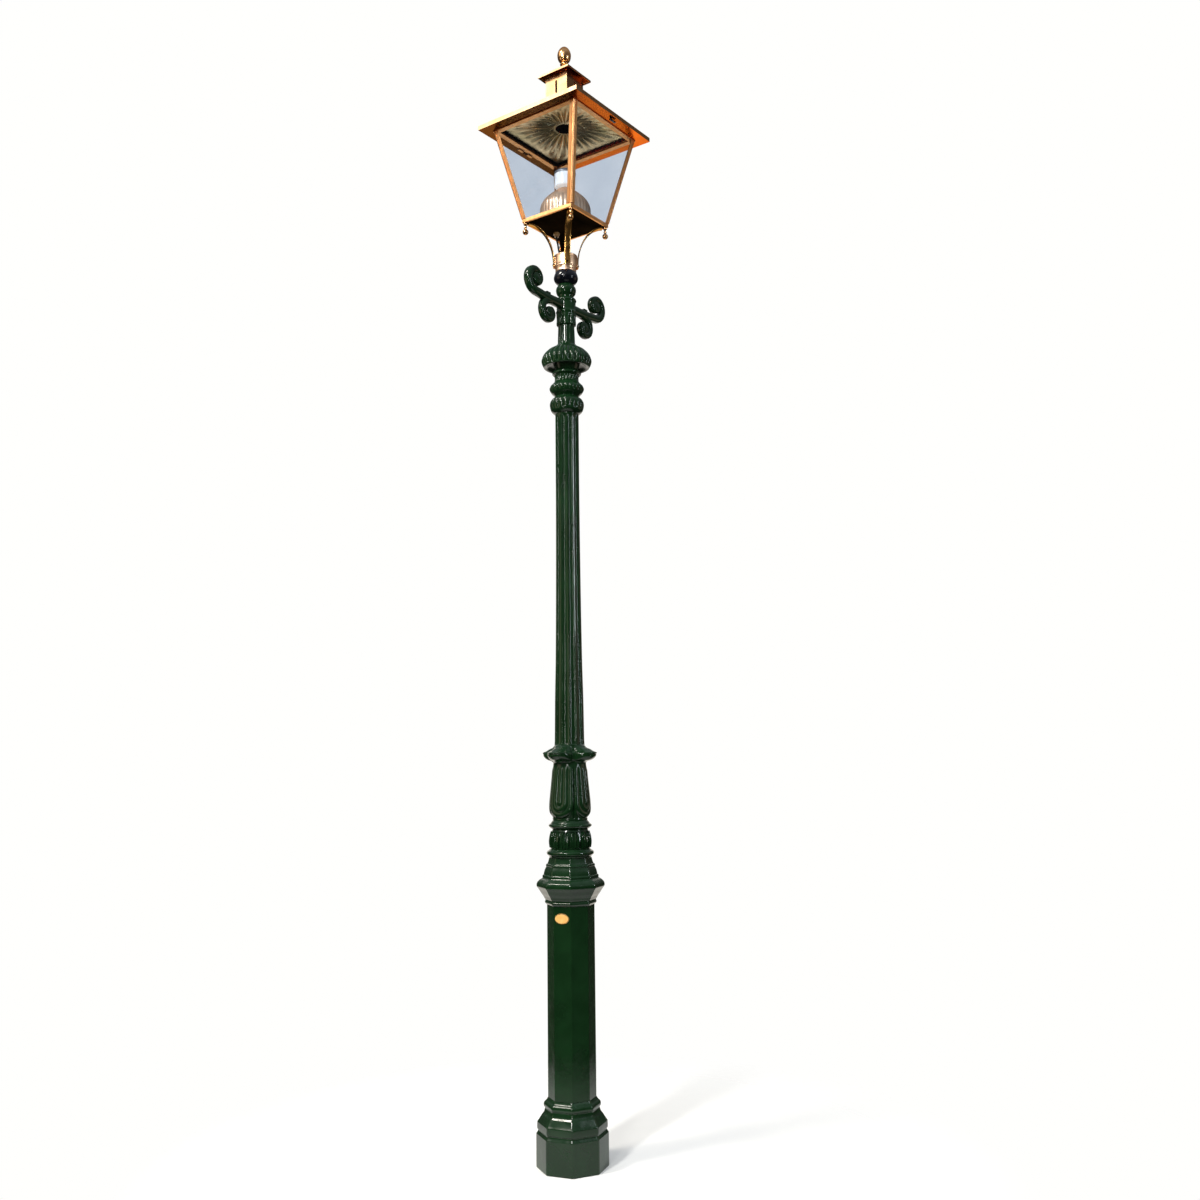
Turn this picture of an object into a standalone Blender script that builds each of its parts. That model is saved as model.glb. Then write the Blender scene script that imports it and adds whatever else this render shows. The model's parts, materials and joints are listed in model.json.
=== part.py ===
"""Street lamp post: octagonal cast pedestal, fluted column with ladder arms, and a four-sided copper lantern.

Metres, +Z up. The origin is the centre of the foot, at ground level. The lantern's front, with the
roof latch, faces -Y, and its roof is hinged along +Y. The ladder arms reach along -X and +X.
"""

from math import cos, pi, radians, sin, sqrt

import bmesh
import bpy
from mathutils import Matrix, Vector

GAP = 0.0003  # clearance between pieces that touch

# Heights above the ground at which one piece ends and the next begins
PLINTH_TOP = 0.257
PEDESTAL_TOP = 0.982
CORNICE_TOP = 1.164
BASE_RING_TOP = 1.197
LEAF_COLLAR_TOP = 1.274
LEAF_RING_TOP = 1.309
CALYX_TOP = 1.604
SHAFT_FOOT = 1.120
NECK_FOOT = 2.9635
NECK_MIDDLE = 3.0405
BELL_FOOT = 3.151
SHAFT_TOP = 3.200
COLUMN_TOP = 3.525
COLLAR_TOP = 3.578
CUP_TOP = 3.650
FRAME_BOTTOM = 3.789
ROOF_FOOT = 4.190
ROOF_TOP = 4.325
CAP_FOOT = 4.443
FINIAL_FOOT = 4.495

# Pedestal
PEDESTAL_RADIUS = 0.094  # to the corners of the octagon
PEDESTAL_BORE = 0.0853
OCTAGON = 8
OCTAGON_TURN = radians(37.7)
FACET = cos(pi / OCTAGON)  # distance to a flat over distance to a corner
LABEL_FACET = radians(195.2)
DOOR_FACET = radians(60.2)

# Door, in the frame of its facet: x along the facet, y outward from the facet's face
DOOR_MIDDLE = 0.560
DOOR_WIDTH = 0.049
DOOR_HEIGHT = 0.300
DOOR_CLEARANCE = 0.001
DOOR_PROUD = 0.001
DOOR_THICKNESS = 0.007
DOOR_HINGE_X = -0.0265
DOOR_HINGE_OUT = 0.005
LOCK_X = 0.008
LOCK_RISE = 0.060

# Column
ROUND = 24
SHAFT_RADIUS = 0.045  # where the sleeves slide over the shaft
SHAFT_BORE = 0.030
SLEEVE_BORE = 0.0455
FLUTES = 12
GADROONS = 12
COLLAR_LEAVES = 16
CALYX_LEAVES = 4
CALYX_TURN = radians(4.7)
HUB_MIDDLE = 3.428

# Lantern
FRAME_HALF = 0.130  # half of the bottom frame's side
TOP_HALF = 0.217
GLASS_TOP = 4.185
FRAME_HEIGHT = 0.016
FRAME_WIDTH = 0.008
TOP_WIDTH = 0.022
BAR_WIDTH = 0.024
BAR_THICKNESS = 0.004
PANE_THICKNESS = 0.004
EAVE_HALF = 0.2615
SOFFIT_HALF = 0.192
SHEET = 0.002
CHIMNEY_HALF = 0.0575
CAP_HALF = 0.0815
LEG_WIDTH = 0.026
LEG_THICKNESS = 0.005
LEG_REACH = 0.156
CUP_RADIUS = 0.0485
BALL_RADIUS = 0.012
BALL_DROP = 0.040
BALL_PLACE = 0.120
HINGE_Y = 0.224
HINGE_Z = 4.1835
KNUCKLE_RADIUS = 0.0045
KNUCKLE_BORE = 0.0022
PIN_RADIUS = 0.0018
LATCH_Y = -0.243
CABLE_RADIUS = 0.004
GLAND_PLACE = (0.036, 0.076)

FINISHES = {  # colour, roughness, metallic
    "green_paint": ((0.010, 0.045, 0.022), 0.22, 0.0),
    "black_paint": ((0.010, 0.012, 0.016), 0.30, 0.0),
    "copper": ((0.560, 0.215, 0.075), 0.24, 1.0),
    "bronze": ((0.480, 0.230, 0.110), 0.32, 1.0),
    "dark_sheet": ((0.035, 0.022, 0.012), 0.45, 0.6),
    "reflector": ((0.340, 0.300, 0.180), 0.30, 1.0),
    "glass": ((0.780, 0.850, 0.930), 0.05, 0.0),
    "opal": ((0.850, 0.850, 0.840), 0.25, 0.0),
    "ceramic": ((0.700, 0.690, 0.660), 0.35, 0.0),
    "steel": ((0.450, 0.450, 0.460), 0.35, 1.0),
    "plastic": ((0.120, 0.125, 0.130), 0.45, 0.0),
    "cable": ((0.020, 0.020, 0.022), 0.55, 0.0),
    "label": ((0.780, 0.640, 0.230), 0.35, 0.0),
}


# ---------------------------------------------------------------- helpers


def clear_scene():
    for obj in list(bpy.data.objects):
        bpy.data.objects.remove(obj, do_unlink=True)


def give_material(obj, finish):
    colour, roughness, metallic = FINISHES[finish]
    material = bpy.data.materials.new(f"{obj.name}_{finish}")
    material.use_nodes = True
    shader = material.node_tree.nodes["Principled BSDF"]
    shader.inputs["Base Color"].default_value = (*colour, 1.0)
    shader.inputs["Roughness"].default_value = roughness
    shader.inputs["Metallic"].default_value = metallic
    obj.data.materials.append(material)


def add_mesh(name, bm, location=(0, 0, 0), parent=None):
    """An object from a bmesh, with its faces turned outward."""
    bmesh.ops.remove_doubles(bm, verts=bm.verts, dist=1e-6)
    bmesh.ops.recalc_face_normals(bm, faces=bm.faces)
    mesh = bpy.data.meshes.new(name)
    bm.to_mesh(mesh)
    bm.free()
    obj = bpy.data.objects.new(name, mesh)
    obj.location = location
    obj.parent = parent
    bpy.context.scene.collection.objects.link(obj)
    return obj


def add_piece(name, bm, finish, location=(0, 0, 0), parent=None, sharp=35):
    obj = add_mesh(name, bm, location, parent)
    obj.data.shade_smooth()
    obj.data.set_sharp_from_angle(angle=radians(sharp))
    give_material(obj, finish)
    return obj


def add_empty(name, location, turn=0.0, parent=None):
    empty = bpy.data.objects.new(name, None)
    empty.location = location
    empty.rotation_euler = (0, 0, turn)
    empty.parent = parent
    bpy.context.scene.collection.objects.link(empty)
    return empty


def combine(obj, other, operation):
    """A Boolean with a helper that isn't a piece of the object."""
    other.hide_render = True
    other.display_type = "WIRE"
    modifier = obj.modifiers.new(other.name, "BOOLEAN")
    modifier.operation = operation
    modifier.solver = "EXACT"
    modifier.object = other
    return obj


def loft(rings, closed):
    """A solid through rings of points. Closed joins the last ring to the first, as in a tube with a bore."""
    bm = bmesh.new()
    loops = [[bm.verts.new(point) for point in ring] for ring in rings]
    count = len(loops[0])
    following = loops[1:] + loops[:1] if closed else loops[1:]
    for low, high in zip(loops, following):
        for i in range(count):
            j = (i + 1) % count
            bm.faces.new((low[i], low[j], high[j], high[i]))
    if not closed:
        bm.faces.new(loops[0][::-1])
        bm.faces.new(loops[-1])
    return bm


def turned(outline, sides, turn=0.0, ripple=None):
    """An outline of (radius, height[, ripple depth]) turned about Z. Without a bore it starts and ends at radius 0."""
    rings = []
    for radius, height, *depth in outline:
        ring = []
        for k in range(sides):
            angle = 2 * pi * k / sides
            r = radius - (depth[0] * ripple(angle) if depth else 0.0)
            ring.append((r * cos(angle + turn), r * sin(angle + turn), height))
        rings.append(ring)
    bored = outline[0][0] > 0
    if bored:
        return loft(rings, True)
    bm = loft(rings[1:-1], False)
    return bm


def square_turned(outline):
    """An outline of (half side, height) swept round a square whose sides face X and Y."""
    return turned([(half * sqrt(2), height) for half, height in outline], 4, pi / 4)


def flutes(count):
    """1 in the middle of each flute, 0 on the sharp edge between two."""
    return lambda angle: abs(sin(count * angle / 2))


def lobes(count):
    """0 on the crown of each lobe, 1 in the sharp valley between two."""
    return lambda angle: 1 - abs(cos(count * angle / 2))


def block(low, high):
    bm = bmesh.new()
    size = [b - a for a, b in zip(low, high)]
    centre = [(a + b) / 2 for a, b in zip(low, high)]
    bmesh.ops.create_cube(bm, size=1.0, matrix=Matrix.Translation(centre) @ Matrix.Diagonal((*size, 1.0)))
    return bm


def rod(radius, low, high, sides=16, axis="Z"):
    """A round bar along an axis from low to high."""
    bm = bmesh.new()
    turn = {"X": Matrix.Rotation(pi / 2, 4, "Y"), "Y": Matrix.Rotation(-pi / 2, 4, "X"), "Z": Matrix()}[axis]
    place = turn @ Matrix.Translation((0, 0, (low + high) / 2))
    bmesh.ops.create_cone(
        bm, cap_ends=True, segments=sides, radius1=radius, radius2=radius, depth=high - low, matrix=place
    )
    return bm


def sweep(path, across, size):
    """A bar of eight sides along a path. across is the constant normal of the path's plane.

    size gives (half width in the plane, half width across it) at each share of the path.
    """
    rings = []
    count = len(path)
    for i, point in enumerate(path):
        ahead = path[min(i + 1, count - 1)] - path[max(i - 1, 0)]
        side = across.cross(ahead).normalized()
        width, depth = size(i / (count - 1))
        ring = []
        for k in range(8):
            angle = 2 * pi * (k + 0.5) / 8
            ring.append(point + side * width * cos(angle) / FACET + across * depth * sin(angle) / FACET)
        rings.append(ring)
    return loft(rings, False)


# ---------------------------------------------------------------- pedestal


def make_plinth():
    outer = [
        (0.141, 0.0), (0.141, 0.128), (0.134, 0.139), (0.137, 0.153), (0.137, 0.168), (0.130, 0.180),
        (0.1185, 0.195), (0.111, 0.206), (0.107, 0.220), (0.111, 0.2315), (0.107, 0.243),
        (0.0955, PLINTH_TOP - GAP),
    ]
    inner = [(0.0855, PLINTH_TOP - GAP), (0.0855, 0.215), (0.122, 0.150), (0.130, 0.125), (0.130, 0.0)]
    add_piece("plinth", turned(outer + inner, OCTAGON, OCTAGON_TURN), "green_paint")


def make_base_flange():
    """The plate inside the plinth that the foundation bolts hold down."""
    thickness, cable_hole, bolt_hole, bolt_circle = 0.018, 0.045, 0.011, 0.088
    outline = [(0.1296, 0.0), (0.1296, thickness), (cable_hole, thickness), (cable_hole, 0.0)]
    flange = add_piece("base_flange", turned(outline, OCTAGON, OCTAGON_TURN), "steel")
    for k in range(4):
        angle = pi / 4 + k * pi / 2
        place = (bolt_circle * cos(angle), bolt_circle * sin(angle), 0)
        hole = add_mesh(f"bolt_hole_{k}", rod(bolt_hole, -0.01, thickness + 0.01), place)
        combine(flange, hole, "DIFFERENCE")


def facet_frame(name, angle):
    """An empty in the middle of a pedestal facet: x along the facet, y outward, at ground level."""
    flat = PEDESTAL_RADIUS * FACET
    return add_empty(name, (flat * cos(angle), flat * sin(angle), 0), angle - pi / 2)


def make_knuckle(name, axis_place, low, high, tab, parent):
    """A hinge eye about a vertical axis, with the tab that joins it to its leaf, as Boolean helpers."""
    x, y = axis_place
    eye = add_mesh(name, rod(0.004, low, high), (x, y, 0), parent)
    arm = add_mesh(f"{name}_tab", block((*tab[0], low), (*tab[1], high)), (0, 0, 0), parent)
    return eye, arm


def make_pedestal(facet):
    height = PEDESTAL_TOP - PLINTH_TOP - GAP
    outline = [(PEDESTAL_RADIUS, 0), (PEDESTAL_RADIUS, height), (PEDESTAL_BORE, height), (PEDESTAL_BORE, 0)]
    place = (0, 0, PLINTH_TOP)
    pedestal = add_piece("pedestal", turned(outline, OCTAGON, OCTAGON_TURN), "green_paint", place)
    half = DOOR_WIDTH / 2 + DOOR_CLEARANCE
    rise = DOOR_HEIGHT / 2 + DOOR_CLEARANCE
    opening = add_mesh(
        "door_opening", block((-half, -0.03, DOOR_MIDDLE - rise), (half, 0.03, DOOR_MIDDLE + rise)), (0, 0, 0), facet
    )
    combine(pedestal, opening, "DIFFERENCE")
    axis = (DOOR_HINGE_X, DOOR_HINGE_OUT)
    for name, low, high in (("lower_eye", -0.045, -0.021), ("upper_eye", 0.021, 0.045)):
        tab = ((-0.0335, -0.002), (DOOR_HINGE_X, DOOR_HINGE_OUT))
        for helper in make_knuckle(name, axis, DOOR_MIDDLE + low, DOOR_MIDDLE + high, tab, facet):
            combine(pedestal, helper, "UNION")
    bore = rod(KNUCKLE_BORE, DOOR_MIDDLE - 0.06, DOOR_MIDDLE + 0.06)
    combine(pedestal, add_mesh("pedestal_eye_bore", bore, (*axis, 0), facet), "DIFFERENCE")


def make_door(facet):
    """The inspection door, with its origin on its hinge axis, and the pin it turns on."""
    axis = add_empty("door_hinge_axis", (DOOR_HINGE_X, DOOR_HINGE_OUT, DOOR_MIDDLE), parent=facet)
    left = -DOOR_WIDTH / 2 - DOOR_HINGE_X
    right = DOOR_WIDTH / 2 - DOOR_HINGE_X
    outer = DOOR_PROUD - DOOR_HINGE_OUT
    half = DOOR_HEIGHT / 2
    door = add_piece(
        "access_door", block((left, outer - DOOR_THICKNESS, -half), (right, outer, half)), "green_paint", parent=axis
    )
    tab = ((0.0, outer - 0.0004), (0.008, 0.0))
    for helper in make_knuckle("door_eye", (0, 0), -0.020, 0.020, tab, axis):
        combine(door, helper, "UNION")
    combine(door, add_mesh("door_eye_bore", rod(KNUCKLE_BORE, -0.03, 0.03), parent=axis), "DIFFERENCE")
    hole = rod(0.0055, outer - 0.02, outer + 0.02, axis="Y")
    combine(door, add_mesh("lock_hole", hole, (LOCK_X - DOOR_HINGE_X, 0, LOCK_RISE), axis), "DIFFERENCE")
    add_piece("door_hinge_pin", rod(PIN_RADIUS, -0.048, 0.048), "steel", parent=axis)
    return axis


def make_door_lock(axis):
    """A quarter-turn lock: key head, spindle and cam. At rest the cam hangs down, clear of the wall."""
    outer = DOOR_PROUD - DOOR_HINGE_OUT
    place = (LOCK_X - DOOR_HINGE_X, outer, LOCK_RISE)
    lock_axis = add_empty("door_lock_axis", place, parent=axis)
    head, back = 0.003, -0.0145
    lock = add_piece("door_lock", rod(0.005, back, head, axis="Y"), "steel", parent=lock_axis)
    rim = add_mesh("lock_head", rod(0.0075, GAP, head + 0.001, axis="Y"), parent=lock_axis)
    combine(lock, rim, "UNION")
    cam = block((-0.006, back - 0.0005, -0.0235), (0.006, back + 0.003, 0.005))
    combine(lock, add_mesh("lock_cam", cam, parent=lock_axis), "UNION")


def make_fuse_gear(facet):
    """The board, the fuse unit with its toggle, and the earth stud, all behind the door."""
    flat = PEDESTAL_BORE * FACET
    depth = PEDESTAL_RADIUS * FACET
    board_front = -depth - 0.024
    board = block((-flat + GAP, board_front - 0.006, 0.440), (flat - GAP, board_front, 0.740))
    add_piece("fuse_board", board, "plastic", parent=facet)
    box_front = board_front + 0.040
    box = add_piece(
        "fuse_box", block((-0.022, board_front + GAP, 0.560), (0.022, box_front, 0.650)), "plastic", parent=facet
    )
    recess = block((-0.006, box_front - 0.012, 0.585), (0.006, box_front + 0.01, 0.625))
    combine(box, add_mesh("toggle_recess", recess, parent=facet), "DIFFERENCE")
    toggle_axis = add_empty("fuse_toggle_axis", (0, box_front - 0.004, 0.605), parent=facet)
    toggle = add_piece("fuse_toggle", rod(0.005, -0.005, 0.005, axis="X"), "ceramic", parent=toggle_axis)
    lever = add_mesh("toggle_lever", block((-0.004, 0.0, -0.0025), (0.004, 0.017, 0.0025)), parent=toggle_axis)
    lever.rotation_euler = (radians(25), 0, 0)
    combine(toggle, lever, "UNION")
    stud = rod(0.005, 0, 0.018, sides=6, axis="Y")
    add_piece("earth_stud", stud, "steel", (0.045, board_front + GAP, 0.500), facet)


def make_label():
    """A plain oval plate on the front left facet."""
    width, height, thickness, rise = 0.060, 0.040, 0.0012, 0.936
    facet = facet_frame("label_facet", LABEL_FACET)
    bm = rod(0.5, 0, thickness, sides=28, axis="Y")
    bmesh.ops.scale(bm, vec=(width, 1.0, height), verts=bm.verts)
    add_piece("number_label", bm, "label", (0.002, GAP, rise), facet)


# ---------------------------------------------------------------- column


def sleeve(name, foot, top, outer, sides, ripple=None, turn=0.0, bore=SLEEVE_BORE):
    """A casting that slides over the shaft. Its outline is given above its foot."""
    height = top - foot - GAP
    outline = outer + [(bore, height), (bore, 0.0)]
    return add_piece(name, turned(outline, sides, turn, ripple), "green_paint", (0, 0, foot))


def make_cornice():
    height = CORNICE_TOP - PEDESTAL_TOP - GAP
    outer = [
        (0.095, 0.0), (0.103, 0.011), (0.105, 0.027), (0.117, 0.042), (0.125, 0.058), (0.135, 0.070),
        (0.135, 0.081), (0.131, 0.092), (0.113, 0.104), (0.1075, 0.112), (0.1036, 0.135), (0.094, 0.154),
        (0.088, 0.170), (0.084, height),
    ]
    inner = [(0.0495, height), (0.0495, 0.137), (0.084, 0.060), (0.084, 0.0)]
    place = (0, 0, PEDESTAL_TOP)
    add_piece("cornice", turned(outer + inner, OCTAGON, OCTAGON_TURN), "green_paint", place)


def make_lower_sleeves():
    ring = [(0.080, 0.0), (0.086, 0.007), (0.094, 0.019), (0.086, 0.0275), (0.080, 0.0327)]
    sleeve("base_ring", CORNICE_TOP, BASE_RING_TOP, ring, ROUND)
    leaves = [(0.079, 0.0), (0.080, 0.009, 0.003), (0.082, 0.029, 0.004), (0.078, 0.048, 0.004), (0.072, 0.0767)]
    sleeve("leaf_collar", BASE_RING_TOP, LEAF_COLLAR_TOP, leaves, 2 * COLLAR_LEAVES, lobes(COLLAR_LEAVES))
    ring = [(0.078, 0.0), (0.086, 0.014), (0.078, 0.024), (0.068, 0.0347)]
    sleeve("leaf_ring", LEAF_COLLAR_TOP, LEAF_RING_TOP, ring, ROUND)


def make_calyx():
    """Four broad leaves that clasp the foot of the shaft and curl outward at their tips."""
    outer = [
        (0.070, 0.0), (0.071, 0.008), (0.076, 0.018), (0.080, 0.034), (0.080, 0.058), (0.0765, 0.097),
        (0.0726, 0.136), (0.0687, 0.176), (0.0668, 0.215), (0.069, 0.227), (0.079, 0.235, 0.004),
        (0.102, 0.243, 0.016), (0.117, 0.256, 0.030), (0.113, 0.267, 0.028), (0.095, 0.278, 0.020),
        (0.068, 0.288), (0.0605, CALYX_TOP - LEAF_RING_TOP - GAP),
    ]
    sleeve("calyx", LEAF_RING_TOP, CALYX_TOP, outer, 32, lobes(CALYX_LEAVES), CALYX_TURN)


def make_shaft():
    """The cast tube that every sleeve slides over, fluted where it shows."""
    shoulder = CALYX_TOP - SHAFT_FOOT
    end = NECK_FOOT - SHAFT_FOOT
    top = SHAFT_TOP - SHAFT_FOOT
    fluted = [(0.059, 0.020), (0.057, 0.180), (0.0534, 0.341), (0.0500, 0.666), (0.0483, 0.996), (0.0483, 1.336)]
    outline = [(SHAFT_RADIUS, 0.0), (SHAFT_RADIUS, shoulder), (0.0600, shoulder)]
    outline += [(radius, shoulder + rise, 0.005) for radius, rise in fluted]
    outline += [(0.0465, end - 0.003), (SHAFT_RADIUS, end - 0.001), (SHAFT_RADIUS, top)]
    outline += [(SHAFT_BORE, top), (SHAFT_BORE, 0.0)]
    bm = turned(outline, 2 * FLUTES, radians(-142.3), flutes(FLUTES))
    add_piece("fluted_shaft", bm, "green_paint", (0, 0, SHAFT_FOOT))


def make_neck():
    ring = [
        (0.049, 0.0), (0.067, 0.020, 0.004), (0.0694, 0.0425, 0.005), (0.066, 0.058, 0.004), (0.0487, 0.0767),
    ]
    sleeve("lower_neck_ring", NECK_FOOT, NECK_MIDDLE, ring, 2 * GADROONS, lobes(GADROONS))
    ring = [
        (0.0487, 0.0), (0.065, 0.0165, 0.004), (0.0716, 0.0335, 0.005), (0.066, 0.048, 0.004), (0.049, 0.061),
        (0.0485, 0.086), (0.059, 0.0945), (0.059, 0.102), (0.049, 0.1102),
    ]
    sleeve("upper_neck_ring", NECK_MIDDLE, BELL_FOOT, ring, 2 * GADROONS, lobes(GADROONS))


def make_bell():
    """The capital: a gadrooned bell with a hollow under its lip, over the joint of shaft and column."""
    seat = SHAFT_TOP - BELL_FOOT + GAP
    top = 0.1095
    outline = [
        (0.082, 0.001), (0.092, 0.006, 0.004), (0.100, 0.020, 0.007), (0.1045, 0.040, 0.008),
        (0.100, 0.057, 0.008), (0.089, 0.074, 0.006), (0.074, 0.091, 0.003), (0.050, 0.103), (0.042, top),
        (0.0367, top), (0.0367, seat + 0.001), (SLEEVE_BORE, seat), (SLEEVE_BORE, 0.004), (0.058, 0.024),
        (0.074, 0.020),
    ]
    bm = turned(outline, 2 * GADROONS, 0.0, lobes(GADROONS))
    add_piece("bell_capital", bm, "green_paint", (0, 0, BELL_FOOT))


def make_upper_column():
    foot = SHAFT_TOP + GAP
    top = COLUMN_TOP - foot - GAP
    bore = 0.020
    outline = [
        (0.036, 0.0), (0.036, 0.070, 0.003), (0.0305, 0.262, 0.003), (0.0305, 0.272), (0.037, 0.280),
        (0.042, 0.302), (0.037, 0.316), (0.031, top), (bore, top), (bore, 0.0),
    ]
    bm = turned(outline, 2 * FLUTES, 0.0, flutes(FLUTES))
    add_piece("upper_column", bm, "green_paint", (0, 0, foot))


def make_collar_ring():
    height = COLLAR_TOP - COLUMN_TOP - GAP
    outline = [
        (0.0326, 0.0), (0.046, 0.012), (0.051, 0.027), (0.048, 0.042), (0.043, height), (0.014, height), (0.014, 0.0),
    ]
    add_piece("collar_ring", turned(outline, ROUND), "black_paint", (0, 0, COLUMN_TOP))


# ---------------------------------------------------------------- ladder arms


def volute(centre, start, end, outer, inner, steps, side):
    """Points of a spiral in the XZ plane, its radius shrinking evenly from outer to inner."""
    points = []
    for i in range(steps + 1):
        share = i / steps
        angle = radians(start + (end - start) * share)
        radius = outer + (inner - outer) * share
        points.append(Vector((side * (centre[0] + radius * cos(angle)), 0, centre[1] + radius * sin(angle))))
    return points


def make_arm(name, side):
    """A cast scroll arm: a bar out from the hub that curls up and back, with a smaller curl below it."""
    across = Vector((0, 1, 0))
    upper_eye = (0.205, 0.061)
    lower_eye = (0.121, -0.062)
    bar = [Vector((side * x, 0, z)) for x, z in ((0.0415, 0.002), (0.080, 0.002), (0.120, 0.002), (0.162, 0.005))]
    upper = bar + volute(upper_eye, -90, 255, 0.052, 0.019, 16, side)
    lower = [Vector((side * 0.160, 0, -0.004))] + volute(lower_eye, 25, -250, 0.040, 0.016, 12, side)
    place = (0, 0, HUB_MIDDLE)
    arm = add_piece(name, sweep(upper, across, lambda t: (0.0170 - 0.0075 * t, 0.015)), "green_paint", place)
    curl = sweep(lower, across, lambda t: (0.012 - 0.003 * t, 0.0135))
    combine(arm, add_mesh(f"{name}_lower_curl", curl, place), "UNION")
    for label, (x, z), radius in (("upper", upper_eye, 0.0200), ("lower", lower_eye, 0.0205)):
        eye = add_mesh(f"{name}_{label}_eye", rod(radius, -0.0165, 0.0165, axis="Y"), (side * x, 0, HUB_MIDDLE + z))
        combine(arm, eye, "UNION")
    lug = block((-0.013, -0.010, 0.0), (0.013, 0.010, 0.028))
    combine(arm, add_mesh(f"{name}_lug", lug, (side * 0.126, 0, HUB_MIDDLE)), "UNION")


def make_hub():
    """The socket round the column that both arms are cast onto, and the screw that locks it."""
    radius, half = 0.041, 0.034
    outline = [
        (0.038, -half), (radius, -half + 0.010), (radius, half - 0.010), (0.038, half), (0.0345, half), (0.0345, -half),
    ]
    hub = add_piece("ladder_hub", turned(outline, ROUND), "green_paint", (0, 0, HUB_MIDDLE))
    hole = add_mesh("hub_screw_hole", rod(0.0045, 0.025, 0.060, sides=12, axis="Y"), (0, 0, HUB_MIDDLE))
    combine(hub, hole, "DIFFERENCE")
    screw = rod(0.004, 0.0350, 0.045, sides=12, axis="Y")
    screw = add_piece("hub_screw", screw, "steel", (0, 0, HUB_MIDDLE))
    head = add_mesh("hub_screw_head", rod(0.0065, 0.0415, 0.0475, sides=6, axis="Y"), (0, 0, HUB_MIDDLE))
    combine(screw, head, "UNION")


# ---------------------------------------------------------------- lantern


def half_at(z):
    """Half of the glazed box's side at a height."""
    return FRAME_HALF + (z - FRAME_BOTTOM) * (TOP_HALF - FRAME_HALF) / (ROOF_FOOT - FRAME_BOTTOM)


def make_cup():
    top = CUP_TOP - COLLAR_TOP
    outline = [
        (0.0435, 0.0), (0.0445, 0.015), (CUP_RADIUS, 0.032), (CUP_RADIUS, top), (0.0445, top), (0.0445, 0.036),
        (0.012, 0.028), (0.012, 0.0),
    ]
    add_piece("spigot_cup", turned(outline, ROUND), "copper", (0, 0, COLLAR_TOP))


def make_legs():
    """Four straps that leave the frame level and come down upright against the cup."""
    top = FRAME_BOTTOM - GAP - LEG_THICKNESS / 2
    foot = 3.612
    inner = CUP_RADIUS + GAP + LEG_THICKNESS / 2
    steps = 9
    path = [Vector((inner, 0, foot - 0.012))]
    for i in range(steps, -1, -1):
        angle = pi / 2 * i / steps
        x = LEG_REACH - (LEG_REACH - inner) * sin(angle)
        path.append(Vector((x, 0, foot + (top - foot) * cos(angle))))
    for k in range(4):
        bm = strap(path, LEG_WIDTH / 2, LEG_THICKNESS / 2)
        leg = add_piece(f"lantern_leg_{k + 1}", bm, "copper")
        leg.rotation_euler = (0, 0, pi / 4 + k * pi / 2)


def strap(path, half_width, half_thickness):
    """A flat bar along a path in the XZ plane, wide along Y."""
    rings = []
    for i, point in enumerate(path):
        ahead = path[min(i + 1, len(path) - 1)] - path[max(i - 1, 0)]
        side = Vector((ahead.z, 0, -ahead.x)).normalized() * half_thickness
        wide = Vector((0, half_width, 0))
        rings.append([point + side + wide, point + side - wide, point - side - wide, point - side + wide])
    return loft(rings, False)


def make_frames():
    outline = [
        (FRAME_HALF, 0.0), (FRAME_HALF, FRAME_HEIGHT), (FRAME_HALF - FRAME_WIDTH, FRAME_HEIGHT),
        (FRAME_HALF - FRAME_WIDTH, 0.0),
    ]
    add_piece("bottom_frame", square_turned(outline), "copper", (0, 0, FRAME_BOTTOM))
    height = ROOF_FOOT - GLASS_TOP - 2 * GAP
    outline = [(TOP_HALF, 0.0), (TOP_HALF, height), (TOP_HALF - TOP_WIDTH, height), (TOP_HALF - TOP_WIDTH, 0.0)]
    frame = add_piece("top_frame", square_turned(outline), "copper", (0, 0, GLASS_TOP))
    for k, (low, high) in enumerate(((-0.045, -0.0155), (0.0155, 0.045))):
        eye = add_mesh(f"frame_eye_{k}", rod(KNUCKLE_RADIUS, low, high, axis="X"), (0, HINGE_Y, HINGE_Z))
        tab = add_mesh(f"frame_tab_{k}", block((low, -0.009, -0.0035), (high, -0.0015, 0.0035)), (0, HINGE_Y, HINGE_Z))
        combine(frame, eye, "UNION")
        combine(frame, tab, "UNION")
    combine(frame, hinge_bore("frame_eye_bore"), "DIFFERENCE")


def hinge_bore(name):
    return add_mesh(name, rod(KNUCKLE_BORE, -0.06, 0.06, sides=12, axis="X"), (0, HINGE_Y, HINGE_Z))


def make_floor():
    half = FRAME_HALF - FRAME_WIDTH - GAP
    plate = block((-half, -half, 0.0), (half, half, 0.003))
    floor = add_piece("floor_plate", plate, "dark_sheet", (0, 0, FRAME_BOTTOM))
    hole = rod(0.006, FRAME_BOTTOM - 0.01, FRAME_BOTTOM + 0.01, sides=12)
    combine(floor, add_mesh("gland_hole", hole, (*GLAND_PLACE, 0)), "DIFFERENCE")
    outline = [(0.010, 0.0), (0.010, 0.010), (0.014, 0.010), (0.014, 0.0187), (0.0052, 0.0187), (0.0052, 0.0)]
    add_piece("cable_gland", turned(outline, 12), "ceramic", (*GLAND_PLACE, FRAME_BOTTOM - 0.019))


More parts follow.
